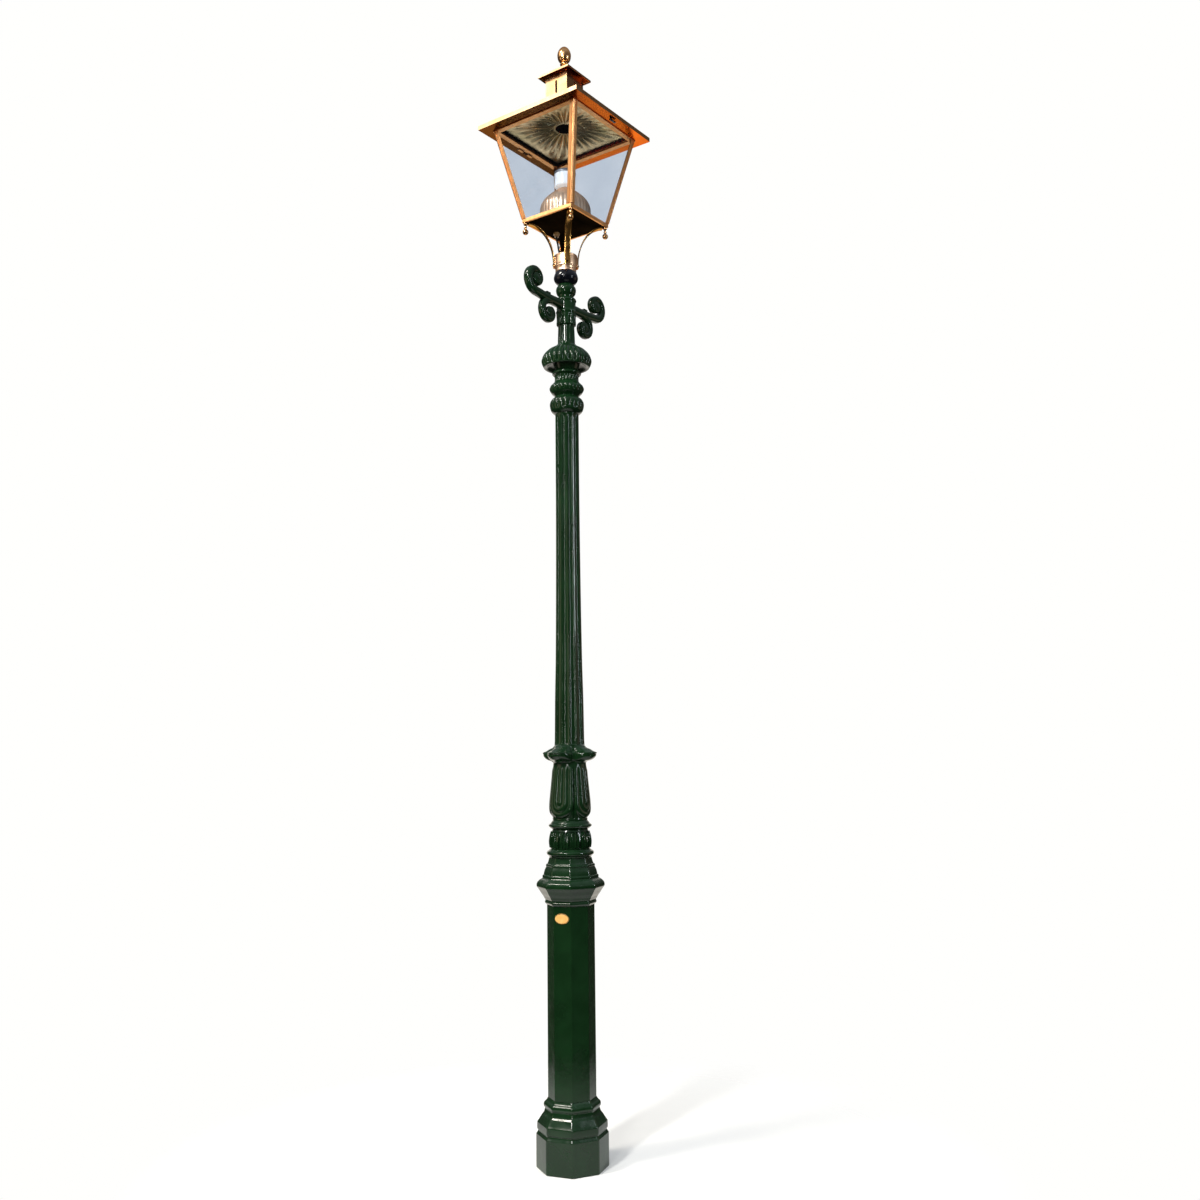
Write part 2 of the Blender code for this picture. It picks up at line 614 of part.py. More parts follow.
def make_corner_bars():
    """Angle bars whose outer corner is rounded over, leaning out from the bottom frame to the top frame."""
    low = FRAME_BOTTOM + FRAME_HEIGHT + GAP
    high = GLASS_TOP - GAP
    for k in range(4):
        rings = []
        for z in (low, high):
            h = half_at(z)
            inner = h - BAR_THICKNESS
            edge = h - BAR_WIDTH
            corners = [(edge, h), (edge, inner), (inner, inner), (inner, edge), (h, edge), (h, h - 0.005)]
            corners += [(h - 0.0015, h - 0.0015), (h - 0.005, h)]
            rings.append([(x, y, z) for x, y in corners])
        bar = add_piece(f"corner_bar_{k + 1}", loft(rings, False), "copper")
        bar.rotation_euler = (0, 0, k * pi / 2)


def make_panes():
    """Four sheets of glass that lean with the bars, behind them."""
    low = FRAME_BOTTOM + FRAME_HEIGHT + GAP
    high = GLASS_TOP - GAP
    for k in range(4):
        rings = []
        for z in (low, high):
            outer = half_at(z) - BAR_THICKNESS - GAP
            inner = outer - PANE_THICKNESS
            half = inner - GAP
            rings.append([(-half, -outer, z), (half, -outer, z), (half, -inner, z), (-half, -inner, z)])
        pane = add_piece(f"glass_pane_{k + 1}", loft(rings, False), "glass")
        pane.rotation_euler = (0, 0, k * pi / 2)


def make_corner_balls():
    """A ball on a short stem under each corner of the bottom frame."""
    outline = [(0.0, -BALL_RADIUS), (0.0, -BALL_RADIUS)]
    for i in range(1, 6):
        angle = -pi / 2 + pi * i / 7
        outline.append((BALL_RADIUS * cos(angle), BALL_RADIUS * sin(angle)))
    top = BALL_DROP - GAP
    outline += [(0.0045, 0.0125), (0.0045, 0.028), (0.008, 0.032), (0.008, top), (0.0, top), (0.0, top)]
    for k in range(4):
        angle = pi / 4 + k * pi / 2
        reach = BALL_PLACE * sqrt(2)
        place = (reach * cos(angle), reach * sin(angle), FRAME_BOTTOM - BALL_DROP)
        add_piece(f"corner_ball_{k + 1}", turned(outline, 12), "copper", place)


def make_lamp():
    """The dome over the control gear, the lamp holder in its top and the opal lamp."""
    foot = FRAME_BOTTOM + 0.003 + GAP
    outer = [
        (0.103, 0.0), (0.103, 0.0145), (0.108, 0.016), (0.108, 0.055), (0.104, 0.078), (0.092, 0.100),
        (0.070, 0.122), (0.048, 0.141), (0.033, 0.153),
    ]
    inner = [
        (0.0262, 0.153), (0.0262, 0.148), (0.046, 0.1385), (0.068, 0.1195), (0.090, 0.098), (0.102, 0.076),
        (0.1055, 0.055), (0.1055, 0.018), (0.1005, 0.016), (0.1005, 0.0),
    ]
    add_piece("gear_dome", turned(outer + inner, ROUND), "bronze", (0, 0, foot))
    add_piece("control_gear", block((-0.075, -0.040, 0), (-0.020, 0.040, 0.045)), "plastic", (0, 0, foot))
    holder = [(0.0, 0.0), (0.0255, 0.0), (0.0255, 0.020), (0.020, 0.0257), (0.0, 0.0257)]
    add_piece("lamp_holder", turned([holder[0], *holder, holder[-1]], ROUND), "ceramic", (0, 0, 3.925))
    lamp = [
        (0.0, 0.0), (0.020, 0.0), (0.040, 0.004), (0.045, 0.009), (0.045, 0.066), (0.038, 0.076), (0.020, 0.081),
        (0.0, 0.081),
    ]
    add_piece("lamp", turned([lamp[0], *lamp, lamp[-1]], ROUND), "opal", (0, 0, 3.951))


def smooth_route(corners, steps):
    """Points of a curve through the corners that turns smoothly at each one."""
    last = len(corners) - 1
    headings = [(corners[min(i + 1, last)] - corners[max(i - 1, 0)]).normalized() for i in range(last + 1)]
    points = []
    for i in range(last):
        start, end = corners[i], corners[i + 1]
        reach = (end - start).length
        for k in range(steps):
            t = k / steps
            blend = t * t * (3 - 2 * t)
            leave = t * (1 - t) * (1 - t) * reach
            arrive = t * t * (t - 1) * reach
            points.append(start.lerp(end, blend) + headings[i] * leave + headings[i + 1] * arrive)
    return points + [corners[-1]]


def make_cable(facet_angle):
    """The cable from the fuse unit up the column, out of the cup and through the gland to the lamp holder."""
    outward = Vector((cos(facet_angle), sin(facet_angle), 0))
    x, y = GLAND_PLACE
    corners = [
        outward * -0.006 + Vector((0, 0, 0.650 + GAP)), outward * -0.006 + Vector((0, 0, 0.700)),
        Vector((0, 0, 0.900)), Vector((0, 0, 3.560)), Vector((0, 0, 3.615)), Vector((0.014, 0.046, 3.690)),
        Vector((x - 0.003, y - 0.008, 3.735)), Vector((x, y, 3.758)), Vector((x, y, 3.767)), Vector((x, y, 3.800)),
        Vector((x, y, 3.815)), Vector((x * 0.7, y * 0.7, 3.850)), Vector((0.006, 0.008, 3.885)), Vector((0, 0, 3.905)),
        Vector((0, 0, 3.925 - GAP)),
    ]
    points = smooth_route(corners, 4)
    curve = bpy.data.curves.new("lamp_cable", "CURVE")
    curve.dimensions = "3D"
    curve.bevel_depth = CABLE_RADIUS
    curve.bevel_resolution = 2
    curve.use_fill_caps = True
    spline = curve.splines.new("POLY")
    spline.points.add(len(points) - 1)
    for target, point in zip(spline.points, points):
        target.co = (*point, 1.0)
    cable = bpy.data.objects.new("lamp_cable", curve)
    bpy.context.scene.collection.objects.link(cable)
    give_material(cable, "cable")


# ---------------------------------------------------------------- roof


def make_roof(axis):
    """The hinged roof: fascia, soffit and four slopes in one folded sheet, with its hinge eye."""
    low = ROOF_FOOT - HINGE_Z
    rise = ROOF_TOP - HINGE_Z
    outline = [
        (EAVE_HALF, low), (EAVE_HALF, low + 0.018), (0.058, rise), (0.045, rise), (0.045, rise - SHEET),
        (0.057, rise - SHEET), (EAVE_HALF - SHEET, low + 0.0165), (EAVE_HALF - SHEET, low + SHEET),
        (SOFFIT_HALF, low + SHEET), (SOFFIT_HALF, low),
    ]
    bm = square_turned(outline)
    bmesh.ops.translate(bm, verts=bm.verts, vec=(0, -HINGE_Y, 0))
    roof = add_piece("roof", bm, "copper", parent=axis)
    eye = add_mesh("roof_eye", rod(KNUCKLE_RADIUS, -0.015, 0.015, axis="X"), parent=axis)
    tab = add_mesh("roof_tab", block((-0.015, -0.003, 0.0015), (0.015, 0.003, low + 0.001)), parent=axis)
    combine(roof, eye, "UNION")
    combine(roof, tab, "UNION")
    combine(roof, hinge_bore("roof_eye_bore"), "DIFFERENCE")
    pin = rod(PIN_RADIUS, -0.048, 0.048, sides=12, axis="X")
    add_piece("roof_hinge_pin", pin, "bronze", (0, HINGE_Y, HINGE_Z))


def make_reflector(axis):
    """A pleated sheet under the slopes: a square rim drawn in to a round hub, in folds like a fan."""
    folds = 48
    rim_half, rim_z, hub_radius, hub_z = 0.190, 4.203, 0.040, 4.222
    lower_rim, lower_hub = [], []
    for k in range(folds):
        angle = 2 * pi * k / folds
        reach = rim_half / max(abs(cos(angle)), abs(sin(angle)))
        fold = 0.004 if k % 2 else 0.0
        lower_rim.append(Vector((reach * cos(angle), reach * sin(angle) - HINGE_Y, rim_z - HINGE_Z + fold)))
        lower_hub.append(Vector((hub_radius * cos(angle), hub_radius * sin(angle) - HINGE_Y, hub_z - HINGE_Z)))
    thickness = Vector((0, 0, 0.0016))
    upper_hub = [point + thickness for point in lower_hub]
    upper_rim = [point + thickness for point in lower_rim]
    add_piece("reflector", loft([lower_rim, lower_hub, upper_hub, upper_rim], True), "reflector", parent=axis, sharp=10)


def make_roof_top(axis):
    """The vent chimney with a slot in each side, its cap, and the finial."""
    foot = ROOF_TOP + GAP - HINGE_Z
    top = CAP_FOOT + 0.0205 - HINGE_Z
    wall = 0.0025
    outline = [
        (CHIMNEY_HALF + 0.008, foot), (CHIMNEY_HALF + 0.008, foot + 0.005), (CHIMNEY_HALF, foot + 0.005),
        (CHIMNEY_HALF, top), (CHIMNEY_HALF - wall, top), (CHIMNEY_HALF - wall, foot),
    ]
    bm = square_turned(outline)
    centre = (0, -HINGE_Y, 0)
    chimney = add_piece("vent_chimney", bm, "copper", centre, axis)
    for k, (x, y) in enumerate(((0.005, 0.1), (0.1, 0.005))):
        slot = block((-x, -y, foot + 0.024), (x, y, foot + 0.092))
        combine(chimney, add_mesh(f"vent_slot_{k}", slot, centre, axis), "DIFFERENCE")
    cap_foot = CAP_FOOT - HINGE_Z
    apex = FINIAL_FOOT - GAP - CAP_FOOT
    outline = [
        (CAP_HALF, cap_foot), (CAP_HALF, cap_foot + 0.009), (0.014, cap_foot + apex), (0.004, cap_foot + apex),
        (0.004, cap_foot + apex - SHEET), (0.013, cap_foot + apex - SHEET), (CAP_HALF - SHEET, cap_foot + 0.0075),
        (CAP_HALF - SHEET, cap_foot),
    ]
    add_piece("vent_cap", square_turned(outline), "copper", centre, axis)
    egg = [
        (0.0, 0.0), (0.016, 0.0), (0.016, 0.005), (0.010, 0.008), (0.012, 0.016), (0.018, 0.021), (0.012, 0.026),
        (0.022, 0.035), (0.0285, 0.053), (0.029, 0.065), (0.025, 0.080), (0.016, 0.093), (0.0055, 0.101), (0.0, 0.103),
    ]
    place = (0, -HINGE_Y, FINIAL_FOOT - HINGE_Z)
    add_piece("finial", turned([egg[0], *egg, egg[-1]], 16), "copper", place, axis)


def make_latch(axis):
    """A turn button under the front soffit. At rest its tongue lies along the frame and not under it."""
    latch_axis = add_empty("roof_latch_axis", (0, LATCH_Y - HINGE_Y, ROOF_FOOT - HINGE_Z), parent=axis)
    latch = add_piece("roof_latch", rod(0.005, -0.011, -GAP, sides=12), "black_paint", parent=latch_axis)
    tongue = block((-0.006, -0.005, -0.0095), (0.0295, 0.005, -0.006))
    combine(latch, add_mesh("latch_tongue", tongue, parent=latch_axis), "UNION")


def main():
    clear_scene()
    door_facet = facet_frame("door_facet", DOOR_FACET)
    make_plinth()
    make_base_flange()
    make_pedestal(door_facet)
    door_axis = make_door(door_facet)
    make_door_lock(door_axis)
    make_fuse_gear(door_facet)
    make_label()
    make_cornice()
    make_lower_sleeves()
    make_calyx()
    make_shaft()
    make_neck()
    make_bell()
    make_upper_column()
    make_collar_ring()
    make_hub()
    make_arm("ladder_arm_left", -1)
    make_arm("ladder_arm_right", 1)
    make_cup()
    make_legs()
    make_frames()
    make_floor()
    make_corner_bars()
    make_panes()
    make_corner_balls()
    make_lamp()
    make_cable(DOOR_FACET)
    roof_axis = add_empty("roof_hinge_axis", (0, HINGE_Y, HINGE_Z))
    make_roof(roof_axis)
    make_reflector(roof_axis)
    make_roof_top(roof_axis)
    make_latch(roof_axis)


main()
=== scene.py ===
import json
from math import cos, hypot, pi, radians, sin, sqrt

import bmesh
import bpy
from mathutils import Euler, Matrix, Vector


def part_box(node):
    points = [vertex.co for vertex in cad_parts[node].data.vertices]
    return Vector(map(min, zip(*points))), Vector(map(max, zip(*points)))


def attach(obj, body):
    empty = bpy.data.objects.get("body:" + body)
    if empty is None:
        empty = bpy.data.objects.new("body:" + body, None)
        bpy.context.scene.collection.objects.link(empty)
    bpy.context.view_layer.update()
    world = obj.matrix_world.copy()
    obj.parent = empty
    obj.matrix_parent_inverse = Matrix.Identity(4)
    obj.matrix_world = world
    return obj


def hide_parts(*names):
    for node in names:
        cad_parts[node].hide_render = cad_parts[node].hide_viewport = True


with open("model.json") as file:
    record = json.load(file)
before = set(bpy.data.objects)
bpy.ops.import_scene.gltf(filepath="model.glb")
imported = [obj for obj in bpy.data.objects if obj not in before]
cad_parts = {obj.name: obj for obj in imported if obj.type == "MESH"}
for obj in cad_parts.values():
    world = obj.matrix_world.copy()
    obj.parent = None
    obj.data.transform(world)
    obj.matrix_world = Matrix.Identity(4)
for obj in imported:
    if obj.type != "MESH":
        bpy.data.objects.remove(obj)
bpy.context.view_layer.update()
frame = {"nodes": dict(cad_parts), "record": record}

BODY_OF = {node: body for body, nodes in frame["record"]["behaviour"]["bodies"].items() for node in nodes}

# Turns about Z, read off the photo, of what is not square to the frame's axes.
OCTAGON_TURN = radians(37.7)
CALYX_TURN = radians(4.7)
FLUTES_TURN = radians(-142.3)
LABEL_FACET = radians(195.2)
SLEEVE_BORE = 0.0455    # bore radius of each casting that sits on the shaft
ROOF_FOOT = 4.19       # height of the roof's lower edge, where the lantern's taper ends
FAN_FOLDS = 30


# ---------------- materials


def feed(tree, socket, value):
    """Links a socket to another node's output, or sets its value."""
    if isinstance(value, bpy.types.NodeSocket):
        tree.links.new(value, socket)
    else:
        socket.default_value = value


def add_node(tree, kind, settings=(), **inputs):
    """A shader node with its properties set and its named inputs set or linked."""
    node = tree.nodes.new(kind)
    for key, value in dict(settings).items():
        setattr(node, key, value)
    for key, value in inputs.items():
        feed(tree, node.inputs[key.replace("_", " ")], value)
    return node


def new_shader(name, roughness=0.5, metallic=0.0):
    """A material, its node tree and its Principled BSDF."""
    material = bpy.data.materials.new(name)
    material.use_nodes = True
    tree = material.node_tree
    shader = tree.nodes["Principled BSDF"]
    shader.inputs["Roughness"].default_value = roughness
    shader.inputs["Metallic"].default_value = metallic
    return material, tree, shader


def noise(tree, scale, detail=4.0, stretch=(1, 1, 1)):
    """Noise over the object's own metres. stretch scales each axis."""
    place = add_node(tree, "ShaderNodeTexCoord").outputs["Object"]
    mapped = add_node(tree, "ShaderNodeMapping", Vector=place, Scale=stretch)
    texture = add_node(tree, "ShaderNodeTexNoise", Vector=mapped.outputs[0], Scale=scale, Detail=detail)
    return texture.outputs[0]


def ramp(tree, factor, *stops):
    """A colour ramp: each stop is (place, colour), and a number stands for a grey."""
    node = add_node(tree, "ShaderNodeValToRGB")
    tree.links.new(factor, node.inputs[0])
    elements = node.color_ramp.elements
    while len(elements) < len(stops):
        elements.new(0.5)
    for element, (place, colour) in zip(elements, stops):
        element.position = place
        element.color = (colour, colour, colour, 1) if isinstance(colour, (int, float)) else (*colour, 1)
    return node.outputs[0]


def mix(tree, factor, first, second, blend="MIX"):
    """Two colours mixed or blended by a factor."""
    node = add_node(tree, "ShaderNodeMix", {"data_type": "RGBA", "blend_type": blend})
    for index, value in ((0, factor), (6, first), (7, second)):
        feed(tree, node.inputs[index], (*value, 1) if isinstance(value, tuple) else value)
    return node.outputs[2]


def math_node(tree, operation, first, second=0.0):
    """A sum, product or other function of one or two numbers."""
    node = add_node(tree, "ShaderNodeMath", {"operation": operation})
    feed(tree, node.inputs[0], first)
    feed(tree, node.inputs[1], second)
    return node.outputs[0]


def mix_shaders(tree, output, share, first, second):
    """Sends two shaders to an output node, with the second by its share."""
    both = add_node(tree, "ShaderNodeMixShader")
    for index, socket in enumerate((share, first, second)):
        tree.links.new(socket, both.inputs[index])
    tree.links.new(both.outputs[0], tree.nodes[output].inputs["Surface"])


def place_parts(tree):
    """X, Y and Z of the shaded point, in metres from the object's origin."""
    place = add_node(tree, "ShaderNodeTexCoord").outputs["Object"]
    return add_node(tree, "ShaderNodeSeparateXYZ", Vector=place).outputs


def facing(tree, axis):
    """The surface normal's share along a world axis: 0 is X, 1 is Y and 2 is Z."""
    geometry = add_node(tree, "ShaderNodeNewGeometry")
    return add_node(tree, "ShaderNodeSeparateXYZ", Vector=geometry.outputs["Normal"]).outputs[axis]


def bumps(tree, shader, *layers):
    """Stacks bump layers of (height, distance in metres) on a shader."""
    normal = None
    for height, distance in layers:
        node = add_node(tree, "ShaderNodeBump", Height=height, Distance=distance, Strength=1.0)
        if normal:
            tree.links.new(normal, node.inputs["Normal"])
        normal = node.outputs[0]
    tree.links.new(normal, shader.inputs["Normal"])


def paint(name, dark, light, dusty, gloss):
    """Thick gloss paint over a sand casting: slow waves, fine orange peel and dust on what faces up."""
    material, tree, shader = new_shader(name)
    patches = ramp(tree, noise(tree, 7.0, 5.0), (0.35, dark), (0.7, light))
    dust = ramp(tree, facing(tree, 2), (0.25, 0.0), (0.95, 0.55))
    grain = ramp(tree, noise(tree, 38.0, 6.0), (0.4, 0.1), (0.68, 1.0))
    dust_share = math_node(tree, "MULTIPLY", dust, grain)
    tree.links.new(mix(tree, dust_share, patches, dusty), shader.inputs["Base Color"])
    sheen = ramp(tree, noise(tree, 24.0, 5.0), (0.3, gloss), (0.75, gloss + 0.13))
    dulling = math_node(tree, "MULTIPLY", dust_share, 0.35)
    tree.links.new(math_node(tree, "ADD", sheen, dulling), shader.inputs["Roughness"])
    shader.inputs["Specular IOR Level"].default_value = 0.32
    bumps(tree, shader, (noise(tree, 22.0, 2.0), 0.00055), (noise(tree, 120.0, 2.0), 0.00004))
    return material


def metal(name, bright, tarnished, smooth_at, rough_at, wave=0.0011, spots=9.0, metallic=1.0):
    """Sheet or cast metal: a bright and a tarnished tone in patches, uneven gloss and hand-worked waves."""
    material, tree, shader = new_shader(name, metallic=metallic)
    shader.inputs["Specular Tint"].default_value = (0.75, 0.48, 0.34, 1)
    patches = ramp(tree, noise(tree, spots, 6.0), (0.38, bright), (0.72, tarnished))
    grain = noise(tree, 60.0, 3.0, (1, 1, 0.12))
    streaks = ramp(tree, grain, (0.45, 0.72), (0.65, 1.0))
    tree.links.new(mix(tree, 0.6, patches, streaks, "MULTIPLY"), shader.inputs["Base Color"])
    gloss = ramp(tree, noise(tree, 42.0, 2.0), (0.32, smooth_at), (0.75, rough_at))
    tree.links.new(gloss, shader.inputs["Roughness"])
    bumps(tree, shader, (noise(tree, 16.0, 2.0), wave), (noise(tree, 420.0, 3.0), 0.000002))
    return material


def base_of(material):
    """A material's tree, its base colour's socket and the colour that is linked to it."""
    tree = material.node_tree
    socket = tree.nodes["Principled BSDF"].inputs["Base Color"]
    return tree, socket, socket.links[0].from_socket


def roof_metal():
    """The roof's copper with painted light: painted shade darkens what faces -Y, and on what faces down,
    painted bounce light is orange near +X and -Y and painted shade is brown opposite.
    """
    material = metal("roof_copper_painted_light", (0.94, 0.66, 0.39), (0.78, 0.44, 0.2), 0.18, 0.34, wave=0.0006)
    tree, colour, base = base_of(material)
    parts = place_parts(tree)
    side = math_node(tree, "ADD", math_node(tree, "SUBTRACT", parts[1], parts[0]), 0.5)
    painted_shade_side = ramp(tree, side, (0.49, 0.0), (0.51, 1.0))
    mottle = noise(tree, 7.0, 2.0)
    # Painted light on the soffits: orange is painted bounce light under the +X and -Y eaves, and brown is
    # painted shade under the other two.
    orange = ramp(tree, mottle, (0.35, (0.72, 0.135, 0.014)), (0.7, (0.46, 0.075, 0.01)))
    brown = ramp(tree, mottle, (0.35, (0.085, 0.026, 0.012)), (0.7, (0.05, 0.016, 0.008)))
    below = mix(tree, painted_shade_side, orange, brown)
    # Painted soffit light goes on what faces down, and painted shade darkens what faces -Y.
    painted_soffit_mask = ramp(tree, math_node(tree, "MULTIPLY", facing(tree, 2), -1.0), (0.6, 0.0), (0.8, 0.95))
    painted_front_shade_mask = ramp(tree, math_node(tree, "MULTIPLY", facing(tree, 1), -1.0), (0.6, 0.0), (0.8, 0.75))
    shaded = mix(tree, painted_front_shade_mask, base, (0.085, 0.032, 0.016))
    tree.links.new(mix(tree, painted_soffit_mask, shaded, below), colour)
    return material


def fan_metal():
    """The reflector's dull gold sheet, with painted shade in the valley of each fold that fades out towards
    the rim.
    """
    material = metal(
        "dull_reflector_painted_shade", (0.9, 0.7, 0.42), (0.52, 0.44, 0.22), 0.26, 0.42, wave=0.0003, spots=6.0
    )
    tree, colour, base = base_of(material)
    parts = place_parts(tree)
    angle = math_node(tree, "ARCTAN2", parts[1], parts[0])
    swing = math_node(tree, "SINE", math_node(tree, "MULTIPLY", angle, FAN_FOLDS / 2))
    valley = ramp(tree, math_node(tree, "ABSOLUTE", swing), (0.08, 1.0), (0.5, 0.0))
    squares = [math_node(tree, "MULTIPLY", parts[k], parts[k]) for k in (0, 1)]
    radius = math_node(tree, "SQRT", math_node(tree, "ADD", *squares))
    reach = ramp(tree, radius, (0.04, 0.9), (0.12, 0.75), (0.185, 0.0))
    # Painted shade: the fold valleys darken towards a dark brown, most near the hub.
    shade = math_node(tree, "MULTIPLY", valley, reach)
    tree.links.new(mix(tree, shade, base, (0.05, 0.034, 0.018)), colour)
    return material


def plain(name, dark, light, roughness, metallic=0.0, scale=40.0, grain=0.0001, specular=0.5, painted_glow=0.0):
    """Plastic, rubber, ceramic and plate: two close tones and a fine grain."""
    material, tree, shader = new_shader(name, roughness, metallic)
    tone = ramp(tree, noise(tree, scale, 5.0), (0.35, dark), (0.7, light))
    tree.links.new(tone, shader.inputs["Base Color"])
    smoothest, roughest = max(roughness - 0.07, 0.03), roughness + 0.1
    gloss = ramp(tree, noise(tree, scale * 1.7, 4.0), (0.3, smoothest), (0.75, roughest))
    tree.links.new(gloss, shader.inputs["Roughness"])
    bumps(tree, shader, (noise(tree, scale * 6, 3.0), grain))
    shader.inputs["Specular IOR Level"].default_value = specular
    shader.inputs["Emission Color"].default_value = (1.0, 0.98, 0.95, 1)
    # Painted light when set: an emission that stands in for daylight scattered inside a translucent glass.
    shader.inputs["Emission Strength"].default_value = painted_glow
    return material


def clear_glass():
    """Thin sheet glass: what lies behind shows faintly blue, under a gloss that grows towards the edge."""
    material, tree, shader = new_shader("clear_glass", 0.03)
    tint = ramp(tree, noise(tree, 5.0, 3.0), (0.35, (0.845, 0.875, 0.915)), (0.7, (0.875, 0.9, 0.935)))
    through = add_node(tree, "ShaderNodeBsdfTransparent", Color=tint)
    gloss = add_node(tree, "ShaderNodeBsdfGlossy", Color=(0.85, 0.9, 0.95, 1), Roughness=0.04)
    facing_away = add_node(tree, "ShaderNodeLayerWeight", Blend=0.5).outputs["Facing"]
    share = ramp(tree, facing_away, (0.3, 0.015), (0.8, 0.06), (1.0, 0.5))
    mix_shaders(tree, "Material Output", share, through.outputs[0], gloss.outputs[0])
    tree.nodes.remove(shader)
    return material


FINISH = {
    "green_paint": paint(
        "gloss_green", (0.0028, 0.0155, 0.0042), (0.0055, 0.0265, 0.0078), (0.011, 0.034, 0.015), 0.08
    ),
    "black_paint": paint(
        "gloss_black", (0.0015, 0.002, 0.004), (0.004, 0.005, 0.01), (0.02, 0.022, 0.03), 0.12
    ),
    "copper": metal(
        "polished_copper", (0.95, 0.5, 0.22), (0.78, 0.36, 0.13), 0.36, 0.46, wave=0.0001, spots=5.0
    ),
    "roof_copper": roof_metal(),
    "bronze": metal(
        "spun_bronze", (0.92, 0.68, 0.48), (0.78, 0.46, 0.27), 0.26, 0.44, spots=16.0, metallic=0.6
    ),
    "brass": metal("polished_brass", (0.9, 0.52, 0.24), (0.5, 0.23, 0.08), 0.14, 0.28, spots=30.0),
    "leg_brass": metal("leg_brass", (0.58, 0.31, 0.09), (0.26, 0.12, 0.035), 0.16, 0.32),
    "cup_copper": metal("pale_copper", (0.92, 0.64, 0.44), (0.66, 0.38, 0.22), 0.3, 0.44, spots=16.0),
    "reflector": fan_metal(),
    "dark_sheet": plain(
        "dark_sheet", (0.008, 0.005, 0.0025), (0.026, 0.015, 0.007), 0.75, scale=9.0, specular=0.0
    ),
    "steel": metal("zinc_steel", (0.62, 0.62, 0.63), (0.36, 0.36, 0.37), 0.28, 0.48, wave=0.0002),
    "board": plain("fibre_board", (0.035, 0.02, 0.012), (0.06, 0.036, 0.022), 0.55),
    "fuse_plastic": plain("fuse_plastic", (0.085, 0.09, 0.095), (0.13, 0.135, 0.14), 0.38),
    "toggle": plain("toggle_plastic", (0.55, 0.53, 0.48), (0.68, 0.66, 0.6), 0.32),
    "ceramic": plain("ceramic", (0.62, 0.61, 0.57), (0.76, 0.75, 0.71), 0.28),
    "gland": plain("brown_glaze", (0.3, 0.17, 0.07), (0.42, 0.26, 0.12), 0.3),
    # Painted light: the lamp is not lit, and its faint emission stands in for daylight scattered inside the
    # opal glass.
    "opal": plain(
        "opal_glass_painted_light", (0.84, 0.85, 0.84), (0.93, 0.93, 0.92), 0.2, scale=14.0, grain=0.00002, painted_glow=0.35
    ),
    "lamp_cap": plain("lamp_cap_grey", (0.22, 0.22, 0.23), (0.38, 0.38, 0.39), 0.35, metallic=0.4),
    "cable": plain("cable_sheath", (0.01, 0.01, 0.011), (0.022, 0.022, 0.024), 0.5),
    "label": plain("cream_enamel", (0.8, 0.42, 0.11), (0.9, 0.54, 0.2), 0.3, scale=60.0, specular=0.3),
    "label_rim": metal("label_rim", (0.95, 0.78, 0.45), (0.7, 0.48, 0.2), 0.14, 0.26),
    "glass": clear_glass(),
}


# ---------------- meshes


def new_object(name, bm, sharp=40, weighted=True):
    """An object from a bmesh, smooth except along its sharp edges, with broad faces kept flat."""
    bmesh.ops.remove_doubles(bm, verts=bm.verts, dist=1e-6)
    bmesh.ops.recalc_face_normals(bm, faces=bm.faces)
    mesh = bpy.data.meshes.new(name)
    bm.to_mesh(mesh)
    bm.free()
    mesh.shade_smooth()
    mesh.set_sharp_from_angle(angle=radians(sharp))
    obj = bpy.data.objects.new(name, mesh)
    bpy.context.scene.collection.objects.link(obj)
    if weighted:
        modifier = obj.modifiers.new("flat_faces", "WEIGHTED_NORMAL")
        modifier.keep_sharp = True
    return obj


def add_piece(name, bm, node, finish, sharp=40, weighted=True, stands_for=True):
    """A piece with its material and body. It replaces its CAD node unless stands_for is False."""
    obj = new_object(name, bm, sharp, weighted)
    obj.data.materials.append(FINISH[finish])
    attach(obj, BODY_OF[node])
    if stands_for:
        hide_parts(node)


def loft(rings, closed):
    """A skin through rings of points. Closed joins the last ring to the first, and open ends are capped."""
    bm = bmesh.new()
    loops = [[bm.verts.new(point) for point in ring] for ring in rings]
    count = len(loops[0])
    following = loops[1:] + loops[:1] if closed else loops[1:]
    for low, high in zip(loops, following):
        for i in range(count):
            j = (i + 1) % count
            bm.faces.new((low[i], low[j], high[j], high[i]))
    if not closed:
        bm.faces.new(loops[0][::-1])
        bm.faces.new(loops[-1])
    return bm


def smooth(points, steps=5):
    """A curve through the given points, from the first to the last."""
    corners = [Vector(point) for point in points]
    last = len(corners) - 1
    headings = [(corners[min(i + 1, last)] - corners[max(i - 1, 0)]).normalized() for i in range(last + 1)]
    out = []
    for i in range(last):
        start, end = corners[i], corners[i + 1]
        reach = (end - start).length
        for k in range(steps):
            t = k / steps
            leave = headings[i] * (t * (1 - t) * (1 - t) * reach)
            arrive = headings[i + 1] * (t * t * (t - 1) * reach)
            out.append(tuple(start.lerp(end, t * t * (3 - 2 * t)) + leave + arrive))
    out.append(tuple(corners[-1]))
    return out


def moulding(*outer, inside=(), ease=0.0008):
    """Smooth runs as one outline, eased where two meet. Each outer run starts at the last one's end."""
    runs = [outer[0], *([before[-1], *run] for before, run in zip(outer, outer[1:])), *inside]
    outline = []
    for index, run in enumerate(runs):
        curve = [Vector(point) for point in smooth(run)]
        if index:
            curve[0] = curve[0] + (curve[1] - curve[0]).normalized() * ease
        if index < len(runs) - 1:
            curve[-1] = curve[-1] + (curve[-2] - curve[-1]).normalized() * ease
        outline += [tuple(point) for point in curve]
    return outline


